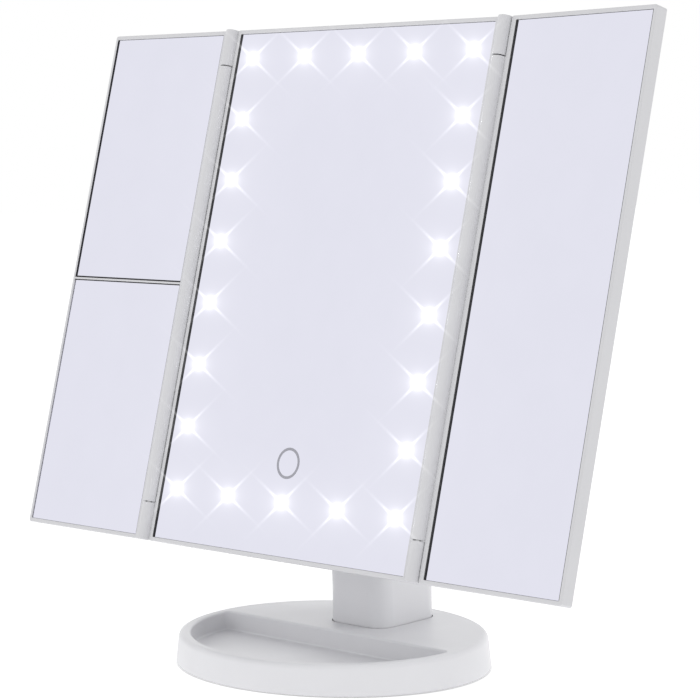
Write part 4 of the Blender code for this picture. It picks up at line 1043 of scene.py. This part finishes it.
studio = {"worldWhite": 1.0, "worldFill": 0.78, "floorReach": 6.0, "floorWhite": "#FAFAFA", "floorLift": 0.40}
studioLights = {                # metres and watts; "low" lights reach only the base and the neck
    "keyPanel": {"place": (-1.1, -1.3, 1.5), "aim": 0.14, "size": 1.2, "watts": 2.5, "low": False},
    "sideCard": {"place": (1.3, 0.9, 0.8), "aim": 0.03, "size": 1.0, "watts": 8.0, "low": True},
    "frontCard": {"place": (0.1, -1.0, 0.3), "aim": 0.03, "size": 0.5, "watts": 1.6, "low": True},
    "rearCard": {"place": (-0.5, 0.9, 1.1), "aim": 0.03, "size": 0.6, "watts": 2.0, "low": True},
}


def addLight(name, look):
    light = bpy.data.lights.new(name, "AREA")
    light.shape, light.size, light.energy = "DISK", look["size"], look["watts"]
    lamp = bpy.data.objects.new(name, light)
    bpy.context.scene.collection.objects.link(lamp)
    lamp.location = look["place"]
    lamp.rotation_euler = (Vector((0, 0, look["aim"])) - lamp.location).to_track_quat("-Z", "Y").to_euler()
    lamp.visible_camera = lamp.visible_glossy = False
    if look["low"]:
        lamp.light_linking.receiver_collection = baseOnly


def makeRoom():
    scene = bpy.context.scene
    scene.world = bpy.data.worlds.new("softRoom")
    scene.world.use_nodes = True
    tree = scene.world.node_tree
    background = tree.nodes["Background"]
    background.inputs["Color"].default_value = hexLinear("#FFFFFF")
    ray = addNode(tree, "ShaderNodeLightPath", {}, {}).outputs["Is Diffuse Ray"]
    level = addNode(tree, "ShaderNodeMapRange", {}, {
        "Value": ray, "To Min": studio["worldWhite"], "To Max": studio["worldFill"]}).outputs["Result"]
    tree.links.new(level, background.inputs["Strength"])

    def sheet(mesh):
        bmesh.ops.create_circle(mesh, cap_ends=True, segments=96, radius=studio["floorReach"])

    floor = meshObject("studioFloor", sheet, world)
    material, tree, shader, place = newMaterial("floorPaper", Roughness=0.9, Specular_IOR_Level=0.0)
    tree.links.new(mixColours(tree, noiseField(tree, place, 90.0), studio["floorWhite"], "#F7F7F7"),
                   shader.inputs["Base Color"])
    shader.inputs["Emission Color"].default_value = hexLinear("#FFFFFF")
    shader.inputs["Emission Strength"].default_value = studio["floorLift"]
    floor.data.materials.append(material)

    for name, look in studioLights.items():
        addLight(name, look)
    scene.view_settings.view_transform = "Standard"
    scene.view_settings.look = "None"


glareLook = {"streakThreshold": 8.0, "streaks": 4, "angle": 45.0, "fade": 0.91, "streakStrength": 0.20,
             "bloomThreshold": 1.2, "bloomSize": 0.30, "bloomStrength": 1.0}


# four-armed stars and a soft halo round each lamp, as a lens with a square stop gives
def makeLensGlow():
    scene = bpy.context.scene
    scene.use_nodes = True
    tree = scene.node_tree
    tree.nodes.clear()
    render = addNode(tree, "CompositorNodeRLayers", {}, {}).outputs["Image"]
    star = addNode(tree, "CompositorNodeGlare", {"glare_type": "STREAKS", "quality": "HIGH"}, {
        "Image": render, "Threshold": glareLook["streakThreshold"], "Streaks": glareLook["streaks"],
        "Streaks Angle": radians(glareLook["angle"]), "Fade": glareLook["fade"], "Color Modulation": 0.0,
        "Strength": glareLook["streakStrength"], "Iterations": 3})
    halo = addNode(tree, "CompositorNodeGlare", {"glare_type": "BLOOM", "quality": "HIGH"}, {
        "Image": star.outputs["Image"], "Threshold": glareLook["bloomThreshold"],
        "Size": glareLook["bloomSize"], "Strength": glareLook["bloomStrength"]})
    addNode(tree, "CompositorNodeComposite", {}, {"Image": halo.outputs["Image"]})


makeRoom()
makeLensGlow()
print("room and light set")
